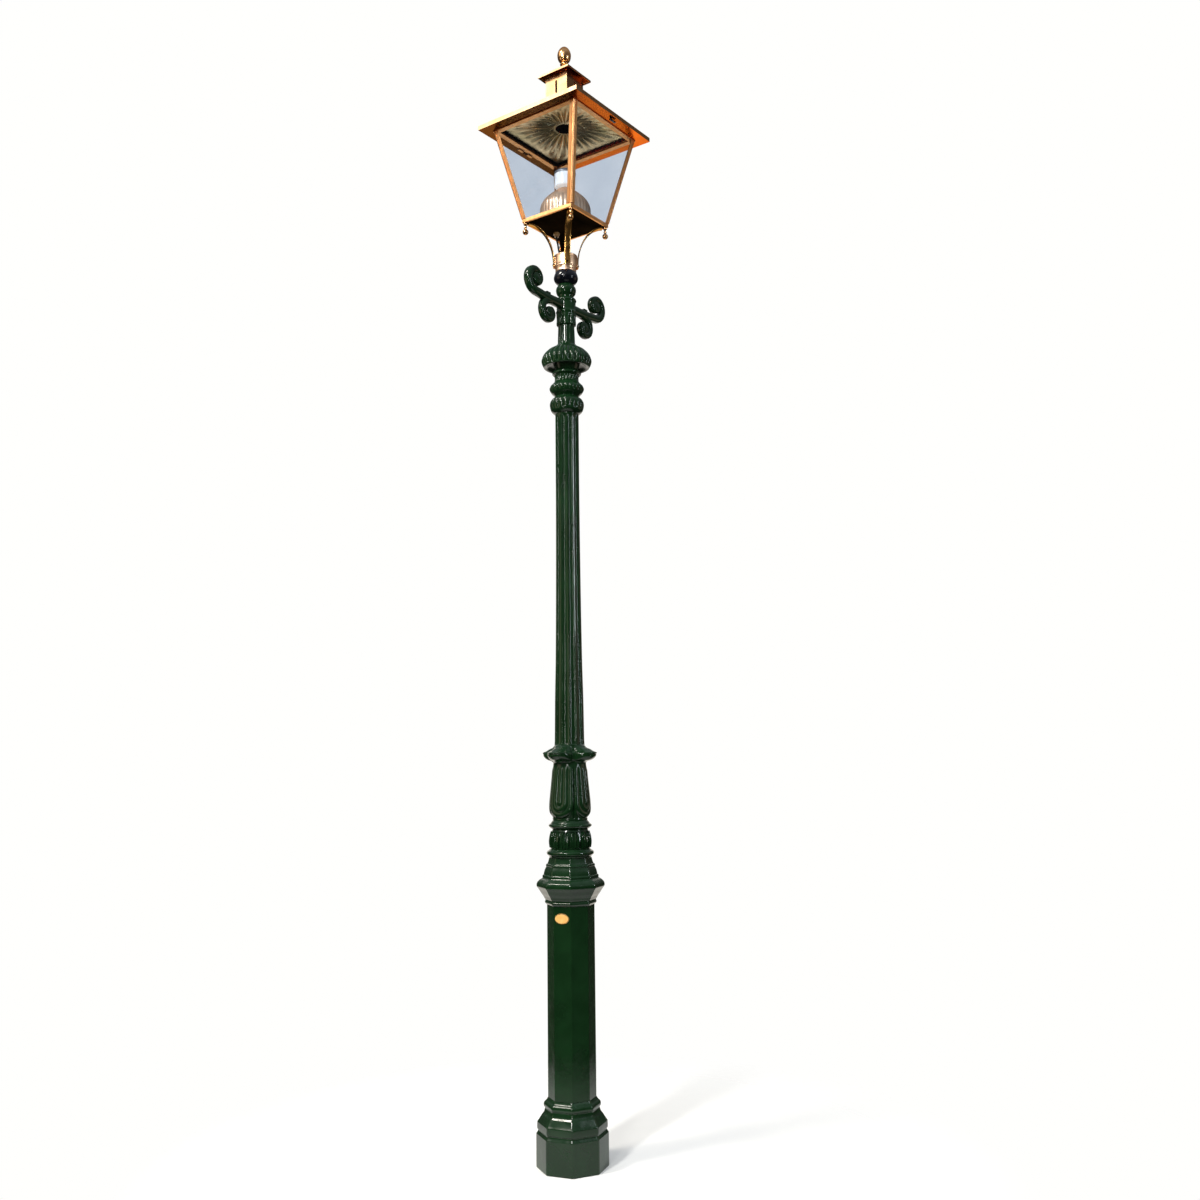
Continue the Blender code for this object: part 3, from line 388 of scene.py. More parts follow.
def revolve(outline, sides, relief=None, turn=0.0, foot=0.0, closed=True):
    """An outline of (radius, height) turned about Z. relief(angle, height, radius) moves a point outward."""
    rings = []
    for radius, height in outline:
        ring = []
        for k in range(sides):
            angle = 2 * pi * k / sides
            r = radius + (relief(angle, height, radius) if relief else 0.0)
            ring.append((r * cos(angle + turn), r * sin(angle + turn), foot + height))
        rings.append(ring)
    return loft(rings, closed)


def turned(name, node, finish, outline, sides, relief=None, turn=0.0, lift=0.0, closed=True, **told):
    """A round piece about Z. The outline's heights are above its CAD node's foot plus lift."""
    bm = revolve(outline, sides, relief, turn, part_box(node)[0].z + lift, closed)
    add_piece(name, bm, node, finish, **{"sharp": 55, "weighted": False, **told})


def height_of(node):
    low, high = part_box(node)
    return high.z - low.z


def octagon_ring(radius, height, soft):
    """Eight corners, each drawn round between two points at the distance soft from it."""
    corners = []
    for k in range(8):
        angle = OCTAGON_TURN + k * pi / 4
        corners.append(Vector((radius * cos(angle), radius * sin(angle), height)))
    ring = []
    for k, corner in enumerate(corners):
        start = corner + (corners[k - 1] - corner).normalized() * soft
        end = corner + (corners[(k + 1) % 8] - corner).normalized() * soft
        for t in (0, 0.25, 0.5, 0.75, 1):
            ring.append(start.lerp(corner, t).lerp(corner.lerp(end, t), t))
    return ring


def octagonal(outline, foot, soft=0.006):
    """An outline of (corner radius, height) as a closed octagonal skin."""
    return loft([octagon_ring(radius, foot + height, soft) for radius, height in outline], True)


def refine(node, finish, ease, corners=None):
    """A CAD node with its edges eased. corners is (offset, test) for a wider ease that comes first."""
    bm = bmesh.new()
    bm.from_mesh(frame["nodes"][node].data)
    bmesh.ops.remove_doubles(bm, verts=bm.verts, dist=1e-5)
    bmesh.ops.dissolve_limit(bm, angle_limit=radians(0.6), verts=bm.verts, edges=bm.edges)
    bevel = {"profile": 0.5, "affect": "EDGES", "clamp_overlap": True}
    if corners:
        offset, test = corners
        bmesh.ops.bevel(bm, geom=[e for e in bm.edges if test(e)], offset=offset, segments=4, **bevel)
    if ease:
        hard = [e for e in bm.edges if len(e.link_faces) == 2 and e.calc_face_angle(0) > radians(35)]
        bmesh.ops.bevel(bm, geom=hard, offset=ease, segments=2, **bevel)
    add_piece(f"{node}_fine", bm, node, finish, sharp=50)


def waves(count, power=1.0):
    """0 on the crown of each lobe and 1 in the valley between two."""
    return lambda angle: 1 - abs(cos(count * angle / 2)) ** power


def hollow(count, land=0.12):
    """1 in the middle of each flute and 0 on the narrow land between two."""
    def depth(angle):
        phase = (angle * count / (2 * pi)) % 1.0
        across = abs(2 * phase - 1) / (1 - land)
        return 0.0 if across >= 1 else (1 - across ** 2.4) ** 0.75
    return depth


def fade(value, low, high):
    """0 at low and 1 at high, with a soft start and end."""
    share = min(max((value - low) / (high - low), 0.0), 1.0)
    return share * share * (3 - 2 * share)


def signed_power(value, power):
    """A power that keeps the sign. On a sine and cosine it squares off a circle."""
    return abs(value) ** power * (1 if value > 0 else -1)


def window(value, low, high, edge):
    """1 between low and high, and 0 outside them, with soft ends."""
    return fade(value, low - edge, low) * (1 - fade(value, high, high + edge))


# ---------------- octagonal castings


def build_plinth():
    plinth_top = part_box("plinth")[1].z
    outline = moulding(
        [(0.1395, 0.0), (0.141, 0.004), (0.141, 0.124)],
        [(0.1375, 0.129), (0.134, 0.1345), (0.1335, 0.139)],
        [(0.1365, 0.1415), (0.1375, 0.147), (0.137, 0.168)],
        [(0.1305, 0.1765), (0.1185, 0.195)],
        [(0.1115, 0.203), (0.1075, 0.2145), (0.107, 0.22)],
        [(0.1105, 0.2235), (0.1118, 0.2315), (0.11, 0.239), (0.107, 0.243)],
        [(0.101, 0.248), (0.0955, plinth_top)],
        inside=[[(0.0855, plinth_top), (0.0855, 0.215)], [(0.122, 0.15), (0.13, 0.125), (0.13, 0.0)]],
    )
    add_piece("plinth_casting", octagonal(outline, 0.0), "plinth", "green_paint")


def build_cornice():
    low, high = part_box("cornice")
    height = high.z - low.z
    outline = moulding(
        [(0.095, 0.0), (0.0985, 0.003), (0.1025, 0.008), (0.1035, 0.012)],
        [(0.1015, 0.0155), (0.1015, 0.02), (0.1045, 0.0245)],
        [(0.109, 0.033), (0.117, 0.044), (0.126, 0.058), (0.1335, 0.068)],
        [(0.1355, 0.072), (0.1355, 0.0805), (0.132, 0.0885)],
        [(0.123, 0.097), (0.114, 0.102), (0.1115, 0.105)],
        [(0.1125, 0.109), (0.111, 0.114), (0.1075, 0.116)],
        [(0.106, 0.125), (0.1025, 0.136), (0.097, 0.147)],
        [(0.0985, 0.151), (0.0965, 0.156), (0.0925, 0.158)],
        [(0.089, 0.167), (0.085, height)],
        inside=[[(0.0495, height), (0.0495, 0.137)], [(0.084, 0.06), (0.084, 0.0)]],
    )
    add_piece("cornice_casting", octagonal(outline, low.z), "cornice", "green_paint")


def build_pedestal():
    corner_radius = 0.0935

    def upright(edge):
        first, second = (v.co for v in edge.verts)
        return abs(first.z - second.z) > 0.5 and hypot(first.x, first.y) > corner_radius

    refine("pedestal", "green_paint", 0.0006, (0.009, upright))


def build_door():
    """The door, its lock and the fuse unit behind it, with the flange under the foot."""
    refine("access_door", "green_paint", 0.0008)
    refine("door_lock", "steel", 0.0004)
    for node in ("base_flange", "door_hinge_pin", "earth_stud"):
        refine(node, "steel", 0.0004)
    refine("fuse_board", "board", 0.0004)
    refine("fuse_box", "fuse_plastic", 0.0008)
    refine("fuse_toggle", "toggle", 0.0003)


def build_label():
    """An oval enamel plate with a raised metal rim, blank."""
    low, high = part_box("number_label")
    centre = (low + high) / 2
    outward = Vector((cos(LABEL_FACET), sin(LABEL_FACET), 0))
    along = Vector((-sin(LABEL_FACET), cos(LABEL_FACET), 0))
    half_width, half_height = 0.03, (high.z - low.z) / 2
    back = centre - outward * 0.0006
    sides = 64

    def oval(inset, rise):
        ring = []
        for k in range(sides):
            angle = 2 * pi * k / sides
            flat = along * (half_width - inset) * cos(angle)
            ring.append(back + flat + Vector((0, 0, (half_height - inset) * sin(angle))) + outward * rise)
        return ring

    def skin(profile, closed):
        return loft([oval(inset, rise) for inset, rise in profile], closed)

    plate = skin([(0, 0), (0, 0.0008), (0.0006, 0.0012), (0.006, 0.0016), (0.012, 0.0019)], False)
    add_piece("label_plate", plate, "number_label", "label")
    rim = skin([(0.0004, 0.001), (0.0006, 0.0021), (0.0022, 0.0021), (0.0026, 0.001)], True)
    add_piece("label_rim", rim, "number_label", "label_rim", stands_for=False)


# ---------------- round castings


def sleeve(node, outline, sides, relief=None, turn=0.0, bore=SLEEVE_BORE):
    """A round casting between its CAD node's heights, bored from end to end."""
    bored = outline + [(bore, height_of(node)), (bore, 0.0)]
    turned(f"{node}_casting", node, "green_paint", bored, sides, relief, turn)


def build_base_ring():
    sleeve("base_ring", smooth([
        (0.08, 0.0), (0.0835, 0.002), (0.086, 0.007), (0.0925, 0.0125), (0.094, 0.019), (0.091, 0.0245),
        (0.086, 0.0275), (0.08, 0.0326),
    ]), 96)


def build_leaf_collar():
    """Arched leaves, each with a raised rim and a midrib, over sunk ground."""
    leaves, leaf_foot, leaf_length = 12, 0.006, 0.062
    bore_clearance = 0.06

    def leaf(angle, height, radius):
        if radius < bore_clearance:
            return 0.0
        across = abs(((angle * leaves / (2 * pi)) % 1.0) * 2 - 1)
        rise = (height - leaf_foot) / leaf_length
        if rise <= 0 or rise >= 1:
            return 0.0
        arch = 0.86 * sqrt(max(0.0, 1 - max(0.0, (rise - 0.55) / 0.45) ** 2)) * (0.8 + 0.2 * rise)
        inside = fade(arch - across, -0.03, 0.08)
        rim = window(across, arch - 0.2, arch - 0.1, 0.06)
        rib = window(across, -0.2, 0.05, 0.09)
        return inside * (0.0012 + 0.0036 * rim + 0.004 * rib) - 0.0045 * (1 - inside) - 0.0006

    sleeve("leaf_collar", smooth([
        (0.0775, 0.0), (0.0785, 0.004), (0.08, 0.014), (0.0812, 0.029), (0.0795, 0.045), (0.0765, 0.06),
        (0.0725, 0.071), (0.07, 0.0766),
    ], 9), 288, leaf, FLUTES_TURN)


def build_leaf_ring():
    sleeve("leaf_ring", smooth([
        (0.071, 0.0), (0.0765, 0.003), (0.0835, 0.009), (0.086, 0.014), (0.0835, 0.0185), (0.078, 0.022),
        (0.0755, 0.0265), (0.069, 0.0346),
    ]), 96)


def build_calyx():
    """Four broad tongues, each with reeds nested in a U, that curl outward at their tips."""
    reeds, sector = 2.45, pi / 4
    reed_angle = sector / reeds
    bend_height, pitch = 0.069, 0.025
    lip_foot, lip_top = 0.2205, 0.2944
    body = smooth([
        (0.069, 0.0), (0.0705, 0.005), (0.0745, 0.014), (0.0795, 0.03), (0.0805, 0.05), (0.0795, 0.075),
        (0.0765, 0.105), (0.073, 0.14), (0.0695, 0.176), (0.0672, 0.205), (0.0662, 0.22),
    ], 8)
    lip = smooth([
        (0.0662, 0.22), (0.069, 0.2265), (0.079, 0.231), (0.094, 0.235), (0.107, 0.242), (0.115, 0.25),
        (0.117, 0.256), (0.1145, 0.262), (0.106, 0.267), (0.092, 0.272), (0.078, 0.28), (0.067, 0.289),
        (0.0605, lip_top),
    ], 6)

    def tongue(angle, height, radius):
        if radius < 0.05:
            return 0.0
        swung = (angle + sector) % (2 * sector) - sector
        share = abs(swung) / sector
        if height > lip_foot:
            gap = 0.0655 + 0.007 * window(height, 0.24, 0.262, 0.01) - 0.005 * fade(height, 0.26, lip_top)
            spread = max(0.0, 1 - (share / 0.9) ** 1.9) ** 0.8
            swell = 0.012 * max(0.0, 1 - (share / 0.62) ** 2) * window(height, 0.267, 0.277, 0.01)
            return (gap - radius) * (1 - spread) + swell if radius > gap else swell
        below = max(0.0, bend_height - height) / pitch
        reach = hypot(swung / reed_angle, below)
        relief = 0.0046 * (abs(cos(pi * reach)) ** 0.8 - 0.45)
        edge = fade(reach, reeds - 0.15, reeds + 0.1)
        relief = relief * (1 - edge) - 0.0045 * edge
        seam = -0.0035 * fade(share, 0.93, 1.0)
        return (relief + seam) * fade(height, 0.002, 0.012) * (1 - fade(height, 0.19, 0.214))

    sleeve("calyx", body + lip[1:], 384, tongue, CALYX_TURN)


def build_shaft():
    """The fluted shaft, with a plain core where the castings below and above slip over it."""
    low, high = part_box("fluted_shaft")
    foot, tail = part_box("calyx")[1].z - low.z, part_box("lower_neck_ring")[0].z - low.z
    flute = hollow(12)
    body = smooth([
        (0.06, foot + 0.0003), (0.059, foot + 0.02), (0.057, foot + 0.18), (0.0534, foot + 0.341),
        (0.05, foot + 0.666), (0.0483, foot + 0.996), (0.0483, foot + 1.336), (0.0483, tail - 0.0005),
    ], 6)

    def relief(angle, height, radius):
        if radius < 0.0465:
            return 0.0
        length = fade(height, foot - 0.002, foot + 0.004) * (1 - fade(height, tail - 0.02, tail))
        return -0.006 * flute(angle) * length

    core, bore, top = 0.045, 0.03, high.z - low.z
    outline = [(core, 0.0), (core, foot)] + body + [(core, tail), (core, top), (bore, top), (bore, 0.0)]
    turned("shaft_casting", "fluted_shaft", "green_paint", outline, 240, relief, FLUTES_TURN)


def build_neck():
    """The two lobed rings at the shaft's top."""
    lobe = waves(16, 0.7)

    def low_lobes(angle, height, radius):
        return -0.004 * lobe(angle) * window(height, 0.026, 0.054, 0.012) if radius > 0.05 else 0.0

    sleeve("lower_neck_ring", smooth([
        (0.0485, 0.0), (0.056, 0.005), (0.064, 0.013), (0.068, 0.024), (0.0705, 0.036), (0.0705, 0.045),
        (0.067, 0.057), (0.0585, 0.066), (0.0505, 0.0725), (0.0482, 0.0765),
    ]), 256, low_lobes, FLUTES_TURN)
    gadroon = waves(20, 0.8)

    def high_lobes(angle, height, radius):
        if radius < 0.0465:
            return 0.0
        waist = window(height, 0.057, 0.086, 0.007)
        belly = window(height, 0.024, 0.04, 0.01)
        return -gadroon(angle) * (0.0035 * waist + 0.003 * belly)

    sleeve("upper_neck_ring", smooth([
        (0.0482, 0.0), (0.053, 0.005), (0.0625, 0.013), (0.0695, 0.024), (0.0716, 0.033), (0.0685, 0.042),
        (0.061, 0.05), (0.0545, 0.057), (0.0505, 0.065), (0.0495, 0.076), (0.0505, 0.086), (0.0545, 0.0905),
        (0.0592, 0.0935), (0.06, 0.098), (0.0585, 0.1015), (0.052, 0.106), (0.0485, 0.1101),
    ]), 280, high_lobes, FLUTES_TURN)


def build_bell():
    """The gadrooned bell, hollow below and seated on the shaft and the upper column."""
    seat = 0.001
    top = height_of("bell_capital") + seat
    lobe = waves(24, 0.75)
    outside = smooth([
        (0.084, 0.015), (0.09, 0.0125), (0.0955, 0.015), (0.1, 0.023), (0.1035, 0.033), (0.1045, 0.043),
        (0.102, 0.054), (0.0955, 0.066), (0.085, 0.079), (0.0715, 0.09), (0.056, 0.098), (0.046, 0.104),
        (0.042, top),
    ], 6)
    inside = [
        (0.0367, top), (0.0367, 0.0505), (SLEEVE_BORE, 0.0495), (SLEEVE_BORE, 0.004), (0.058, 0.032),
        (0.076, 0.026),
    ]

    def relief(angle, height, radius):
        if radius < 0.08 and height < 0.05:
            return 0.0
        deep = window(height, 0.026, 0.086, 0.012)
        return -0.008 * lobe(angle) * deep * radius / 0.1045

    turned("bell_casting", "bell_capital", "green_paint", outside + inside, 336, relief, FLUTES_TURN, -seat)


def build_upper_column():
    flute = hollow(12, 0.18)

    def relief(angle, height, radius):
        if radius < 0.025:
            return 0.0
        return -0.0032 * flute(angle) * window(height, 0.07, 0.258, 0.01)

    column = smooth([(0.0365, 0.0), (0.036, 0.07), (0.0335, 0.15), (0.0308, 0.255)], 8)
    torus = smooth([
        (0.0305, 0.262), (0.031, 0.27), (0.0335, 0.2765), (0.0385, 0.283), (0.0415, 0.293), (0.042, 0.302),
        (0.0395, 0.311), (0.0345, 0.318), (0.031, 0.3244),
    ])
    sleeve("upper_column", column + torus, 192, relief, FLUTES_TURN, 0.02)


def build_collar():
    height = height_of("collar_ring")
    outline = smooth([
        (0.0326, 0.0), (0.038, 0.0045), (0.0455, 0.012), (0.05, 0.021), (0.051, 0.0285), (0.049, 0.039),
        (0.0455, 0.048), (0.0435, height),
    ]) + [(0.014, height), (0.014, 0.0)]
    turned("collar_casting", "collar_ring", "black_paint", outline, 96)


# ---------------- ladder arms


def volute(centre, start, end, outer, inner, steps, side):
    """A spiral in the XZ plane from start to end degrees and from the outer to the inner radius."""
    points = []
    for i in range(steps + 1):
        share = i / steps
        angle = radians(start + (end - start) * share)
        radius = outer + (inner - outer) * share
        points.append(Vector((side * (centre[0] + radius * cos(angle)), 0, centre[1] + radius * sin(angle))))
    return points


def sweep(path, foot, tip, depth, sides=20):
    """The rings of a rounded bar along a path in the XZ plane, tapering from foot to tip in half width."""
    across = Vector((0, 1, 0))
    rings = []
    last = len(path) - 1
    for i, point in enumerate(path):
        ahead = path[min(i + 1, last)] - path[max(i - 1, 0)]
        out = across.cross(ahead).normalized()
        width = tapered(i / last, foot, tip)
        ring = []
        for k in range(sides):
            angle = 2 * pi * k / sides
            wide, deep = signed_power(cos(angle), 0.7), signed_power(sin(angle), 0.7)
            ring.append(point + out * width * wide + across * depth * deep)
        rings.append(ring)
    return rings


def joined(parts):
    """Several closed skins as one mesh."""
    whole = bmesh.new()
    for part in parts:
        mesh = bpy.data.meshes.new("part")
        part.to_mesh(mesh)
        part.free()
        whole.from_mesh(mesh)
        bpy.data.meshes.remove(mesh)
    return whole


def button(place, radius, depth, sides=32):
    """A boss with a domed face on each side of the XZ plane and a dimple round its middle."""
    outline = [(radius * 0.02, -depth), (radius * 0.4, -depth * 0.97), (radius * 0.55, -depth * 0.86)]
    outline += [(radius * 0.7, -depth * 0.93), (radius * 0.88, -depth * 0.84), (radius, -depth * 0.55)]
    outline += [(r, -z) for r, z in reversed(outline)]
    bm = revolve(outline, sides, closed=False)
    lie_down = Matrix.Translation(place) @ Matrix.Rotation(pi / 2, 4, "X")
    bmesh.ops.transform(bm, matrix=lie_down, verts=bm.verts)
    return bm


def rounded_block(centre, half, ease):
    """A block from its centre and half sizes, with round edges."""
    bm = bmesh.new()
    bmesh.ops.create_cube(bm, size=2.0, matrix=Matrix.Translation(centre) @ Matrix.Diagonal((*half, 1.0)))
    bmesh.ops.bevel(bm, geom=bm.edges[:], offset=ease, segments=3, profile=0.5, affect="EDGES")
    return bm


def tapered(share, start, end, nose=0.97):
    """A size that goes from start to end and rounds off past the nose's share."""
    size = start + (end - start) * share
    return size * (1 if share < nose else sqrt(max(0.05, 1 - ((share - nose) / (1 - nose)) ** 2)))


def build_arms():
    """Each arm is a bar that ends in a scroll, a second scroll under it, their eyes, a lug and a knob."""
    low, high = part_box("ladder_hub")
    middle = Vector((0, 0, (low.z + high.z) / 2))
    upper_eye, lower_eye = (0.205, 0.061), (0.12, -0.056)
    bar = smooth([(0.0415, 0.002), (0.08, 0.002), (0.12, 0.002), (0.162, 0.005), (0.19, 0.0085)], 6)[:-3]
    branch = smooth([(0.108, -0.002), (0.136, -0.01), (0.154, -0.026), (0.1612, -0.046)], 6)[:-1]

    def scroll(path, foot, tip, depth):
        return loft([[middle + point for point in ring] for ring in sweep(path, foot, tip, depth)], False)

    for name, side in (("ladder_arm_left", -1), ("ladder_arm_right", 1)):
        upper = [Vector((side * x, 0, z)) for x, z in bar]
        upper += volute(upper_eye, -86, 255, 0.052, 0.019, 60, side)
        lower = [Vector((side * x, 0, z)) for x, z in branch]
        lower += volute(lower_eye, 12, -250, 0.0415, 0.016, 48, side)
        parts = [scroll(upper, 0.0195, 0.012, 0.0165), scroll(lower, 0.017, 0.011, 0.015)]
        for (x, z), radius in ((upper_eye, 0.0255), (lower_eye, 0.0225)):
            parts.append(button(middle + Vector((side * x, 0, z)), radius, 0.0168))
        parts.append(rounded_block(middle + Vector((side * 0.126, 0, 0.014)), (0.013, 0.01, 0.014), 0.003))
        parts.append(button(middle + Vector((side * 0.262, 0, 0.058)), 0.0068, 0.007, 16))
        add_piece(f"{name}_casting", joined(parts), name, "green_paint", sharp=60, weighted=False)


def build_hub():
    """The clamp that holds the arms, its set screw, and the leaf tips that hang under it."""
    height, bore = height_of("ladder_hub"), 0.0345
    outline = smooth([
        (0.0385, 0.0), (0.0415, 0.004), (0.043, 0.01), (0.0405, 0.015), (0.04, height / 2),
        (0.0405, height - 0.015), (0.043, height - 0.01), (0.0415, height - 0.004), (0.0385, height),
    ]) + [(bore, height), (bore, 0.0)]
    turned("hub_casting", "ladder_hub", "green_paint", outline, 96)
    refine("hub_screw", "steel", 0.0004)
    tips = waves(8, 0.6)
    length, leaf_bore, overlap = 0.052, 0.029, 0.001

    def leaf_tips(angle, height, radius):
        if radius < 0.03:
            return 0.0
        droop = fade(tips(angle), 0.15, 0.95) * (1 - fade(height, length * 0.45, length))
        return 0.0015 * (1 - tips(angle)) - 0.007 * droop

    outline = smooth([
        (0.0345, 0.0), (0.0385, 0.004), (0.0395, 0.012), (0.0385, 0.028), (0.0395, 0.044), (0.04, length),
    ]) + [(leaf_bore, length), (leaf_bore, 0.0)]
    turned("hub_leaves", "ladder_hub", "green_paint", outline, 192, leaf_tips, FLUTES_TURN, overlap - length,
           sharp=60, stands_for=False)


# ---------------- lantern foot


def build_cup():
    height = height_of("spigot_cup")
    outline = moulding(
        [(0.0425, 0.0), (0.0438, 0.0015), (0.044, 0.009), (0.0432, 0.0105)],
        [(0.044, 0.0155), (0.0452, 0.02)],
        [(0.047, 0.0215), (0.0475, 0.024), (0.047, 0.0262)],
        [(0.0478, 0.031), (0.0482, 0.04), (0.0483, height - 0.004)],
        [(0.0487, height - 0.003), (0.0485, height), (0.0462, height), (0.0445, height - 0.002)],
        inside=[[(0.0445, 0.036), (0.012, 0.028)], [(0.012, 0.028), (0.012, 0.0)]],
        ease=0.0003,
    )
    turned("cup_turning", "spigot_cup", "cup_copper", outline, 96, sharp=50)


def build_leg_tabs():
    """A rounded pad on the cup for the foot of each leg."""
    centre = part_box("spigot_cup")[0].z + 0.043
    half_angle, half_height, steps = 0.36, 0.025, 24
    layers = ((0.04852, 1.0), (0.0492, 1.0), (0.0499, 0.96), (0.0499, 0.8))
    for k in range(4):
        rings = []
        for radius, shrink in layers:
            ring = []
            for i in range(steps):
                turn = 2 * pi * i / steps
                angle = pi / 4 + k * pi / 2 + half_angle * signed_power(cos(turn), 0.6) * shrink
                rise = half_height * signed_power(sin(turn), 0.6) * shrink
                ring.append((radius * cos(angle), radius * sin(angle), centre + rise))
            rings.append(ring)
        name = f"leg_tab_{k + 1}"
        add_piece(name, loft(rings, False), "spigot_cup", "cup_copper", 50, weighted=False, stands_for=False)


def build_legs():
    """Straps with a convex outer face, and the screw that holds each foot."""
    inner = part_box("spigot_cup")[1].x + 0.0001
    half_width, depth, steps = 0.013, 0.0052, 30
    section = (
        (-1.0, 0.0), (-0.96, 0.0), (0.96, 0.0), (1.0, 0.0), (1.0, 0.45), (0.92, 0.7), (0.6, 0.9),
        (0.0, 1.0), (-0.6, 0.9), (-0.92, 0.7), (-1.0, 0.45),
    )
    screw = [(0.0002, 0.0026), (0.0022, 0.0024), (0.0038, 0.0014), (0.0044, 0.0), (0.0044, -0.001)]
    for k in range(4):
        node = f"lantern_leg_{k + 1}"
        low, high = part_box(node)
        turn = Matrix.Rotation(pi / 4 + k * pi / 2, 4, "Z")
        bend = low.z + 0.012
        rise = high.z - depth - bend
        reach = max(abs(low.x), high.x) * sqrt(2) - half_width
        path = [Vector((inner, 0, low.z)), Vector((inner, 0, low.z + 0.006))]
        for i in range(steps, -1, -1):
            angle = pi / 2 * i / steps
            path.append(Vector((reach - (reach - inner) * sin(angle), 0, bend + rise * cos(angle))))
        rings = []
        for i, point in enumerate(path):
            ahead = path[min(i + 1, len(path) - 1)] - path[max(i - 1, 0)]
            out = Vector((ahead.z, 0, -ahead.x)).normalized()
            ring = [point + out * depth * up + Vector((0, half_width * across, 0)) for across, up in section]
            rings.append(ring)
        strap = loft(rings, False)
        bmesh.ops.transform(strap, matrix=turn, verts=strap.verts)
        add_piece(f"leg_strap_{k + 1}", strap, node, "leg_brass", sharp=50)
        head = revolve(screw, 20, closed=False)
        place = turn @ Matrix.Translation((inner + depth, 0, low.z + 0.01)) @ Matrix.Rotation(pi / 2, 4, "Y")
        bmesh.ops.transform(head, matrix=place, verts=head.verts)
        add_piece(f"leg_screw_{k + 1}", head, "hub_screw", "dark_sheet", weighted=False, stands_for=False)


def build_balls():
    """The drops under the lantern's corners. Heights are from the ball's centre."""
    ball_radius = 0.012
    outline = smooth([
        (0.0002, -0.012), (0.0045, -0.0112), (0.0086, -0.0084), (0.0115, -0.0035), (0.0119, 0.002),
        (0.01, 0.007), (0.0066, 0.0102), (0.0046, 0.0124), (0.005, 0.015), (0.0066, 0.0168),
        (0.0066, 0.019), (0.0048, 0.021), (0.0045, 0.025), (0.0055, 0.029), (0.0078, 0.032),
        (0.008, 0.0396), (0.0005, 0.0397),
    ], 4)
    for k in range(4):
        node = f"corner_ball_{k + 1}"
        low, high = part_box(node)
        bm = revolve(outline, 40, closed=False)
        centre = (low + high) / 2
        bmesh.ops.translate(bm, verts=bm.verts, vec=(centre.x, centre.y, low.z + ball_radius))
        add_piece(f"ball_drop_{k + 1}", bm, node, "brass", sharp=60, weighted=False)


# ---------------- lantern body


def build_bars():
    """Corner bars with a round nose, a quirk on each side of it, and a thinner wing behind the quirk."""
    top_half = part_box("top_frame")[1].x
    floor, floor_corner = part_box("bottom_frame")
    wing = [
        (0.024, 0.004), (0.024, 0.0012), (0.0232, 0.0006), (0.0112, 0.0006), (0.0106, 0.0019),
        (0.0094, 0.0019), (0.0088, 0.0), (0.0065, -0.0002), (0.0035, 0.0004), (0.0016, 0.0016),
    ]
    section = wing + [(y, x) for x, y in reversed(wing[:-1])] + [(0.004, 0.004)]
    for k in range(4):
        node = f"corner_bar_{k + 1}"
        turn = Matrix.Rotation(k * pi / 2, 4, "Z")
        rings = []
        for z in (corner.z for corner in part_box(node)):
            share = (z - floor.z) / (ROOF_FOOT - floor.z)
            half = floor_corner.x + (top_half - floor_corner.x) * share
            rings.append([turn @ Vector((half - x, half - y, z)) for x, y in section])
        add_piece(f"corner_bar_{k + 1}_fine", loft(rings, False), node, "copper", sharp=35)


def build_lantern_body():
    """The frames, floor, panes and fittings, as in the CAD but with eased edges."""
    refine("bottom_frame", "copper", 0.0012)
    refine("top_frame", "copper", 0.0006)
    refine("floor_plate", "dark_sheet", 0.0003)
    refine("cable_gland", "gland", 0.0006)
    refine("lamp_cable", "cable", 0.0)
    refine("control_gear", "fuse_plastic", 0.002)
    refine("lamp_holder", "ceramic", 0.0008)
    refine("roof_hinge_pin", "steel", 0.0004)
    for k in range(4):
        refine(f"glass_pane_{k + 1}", "glass", 0.0)


def build_dome():
    """The ribbed dome over the control gear."""
    flute = hollow(36, 0.45)
    outside = moulding(
        [(0.103, 0.0), (0.103, 0.012)],
        [(0.1072, 0.0128), (0.108, 0.015), (0.108, 0.055)],
        [(0.1072, 0.066), (0.104, 0.078), (0.099, 0.089), (0.092, 0.1), (0.07, 0.122), (0.048, 0.141),
         (0.033, 0.153)],
    )
    inside = [
        (0.0262, 0.153), (0.0262, 0.148), (0.046, 0.1385), (0.068, 0.1195), (0.09, 0.098), (0.102, 0.076),
        (0.1055, 0.055), (0.1055, 0.018), (0.1005, 0.016), (0.1005, 0.0),
    ]

    def relief(angle, height, radius):
        return -0.0013 * flute(angle) * window(height, 0.024, 0.092, 0.006) if radius > 0.088 else 0.0

    turned("dome_spinning", "gear_dome", "bronze", outside + inside, 360, relief, sharp=50)


def build_lamp():
    """The opal lamp and the grey cap on its end."""
    outline = smooth([
        (0.0005, 0.0), (0.02, 0.0), (0.036, 0.0022), (0.0435, 0.0065), (0.045, 0.012), (0.045, 0.03),
        (0.045, 0.062), (0.044, 0.067), (0.041, 0.0695), (0.0005, 0.07),
    ])
    turned("lamp_glass", "lamp", "opal", outline, 96, closed=False, sharp=60)
    outline = smooth([
        (0.0425, 0.06), (0.0458, 0.061), (0.0462, 0.065), (0.0455, 0.07), (0.042, 0.075), (0.032, 0.079),
        (0.015, 0.0808), (0.0005, 0.081),
    ])
    turned("lamp_cap", "lamp", "lamp_cap", outline, 96, closed=False, sharp=60, stands_for=False)


# ---------------- roof


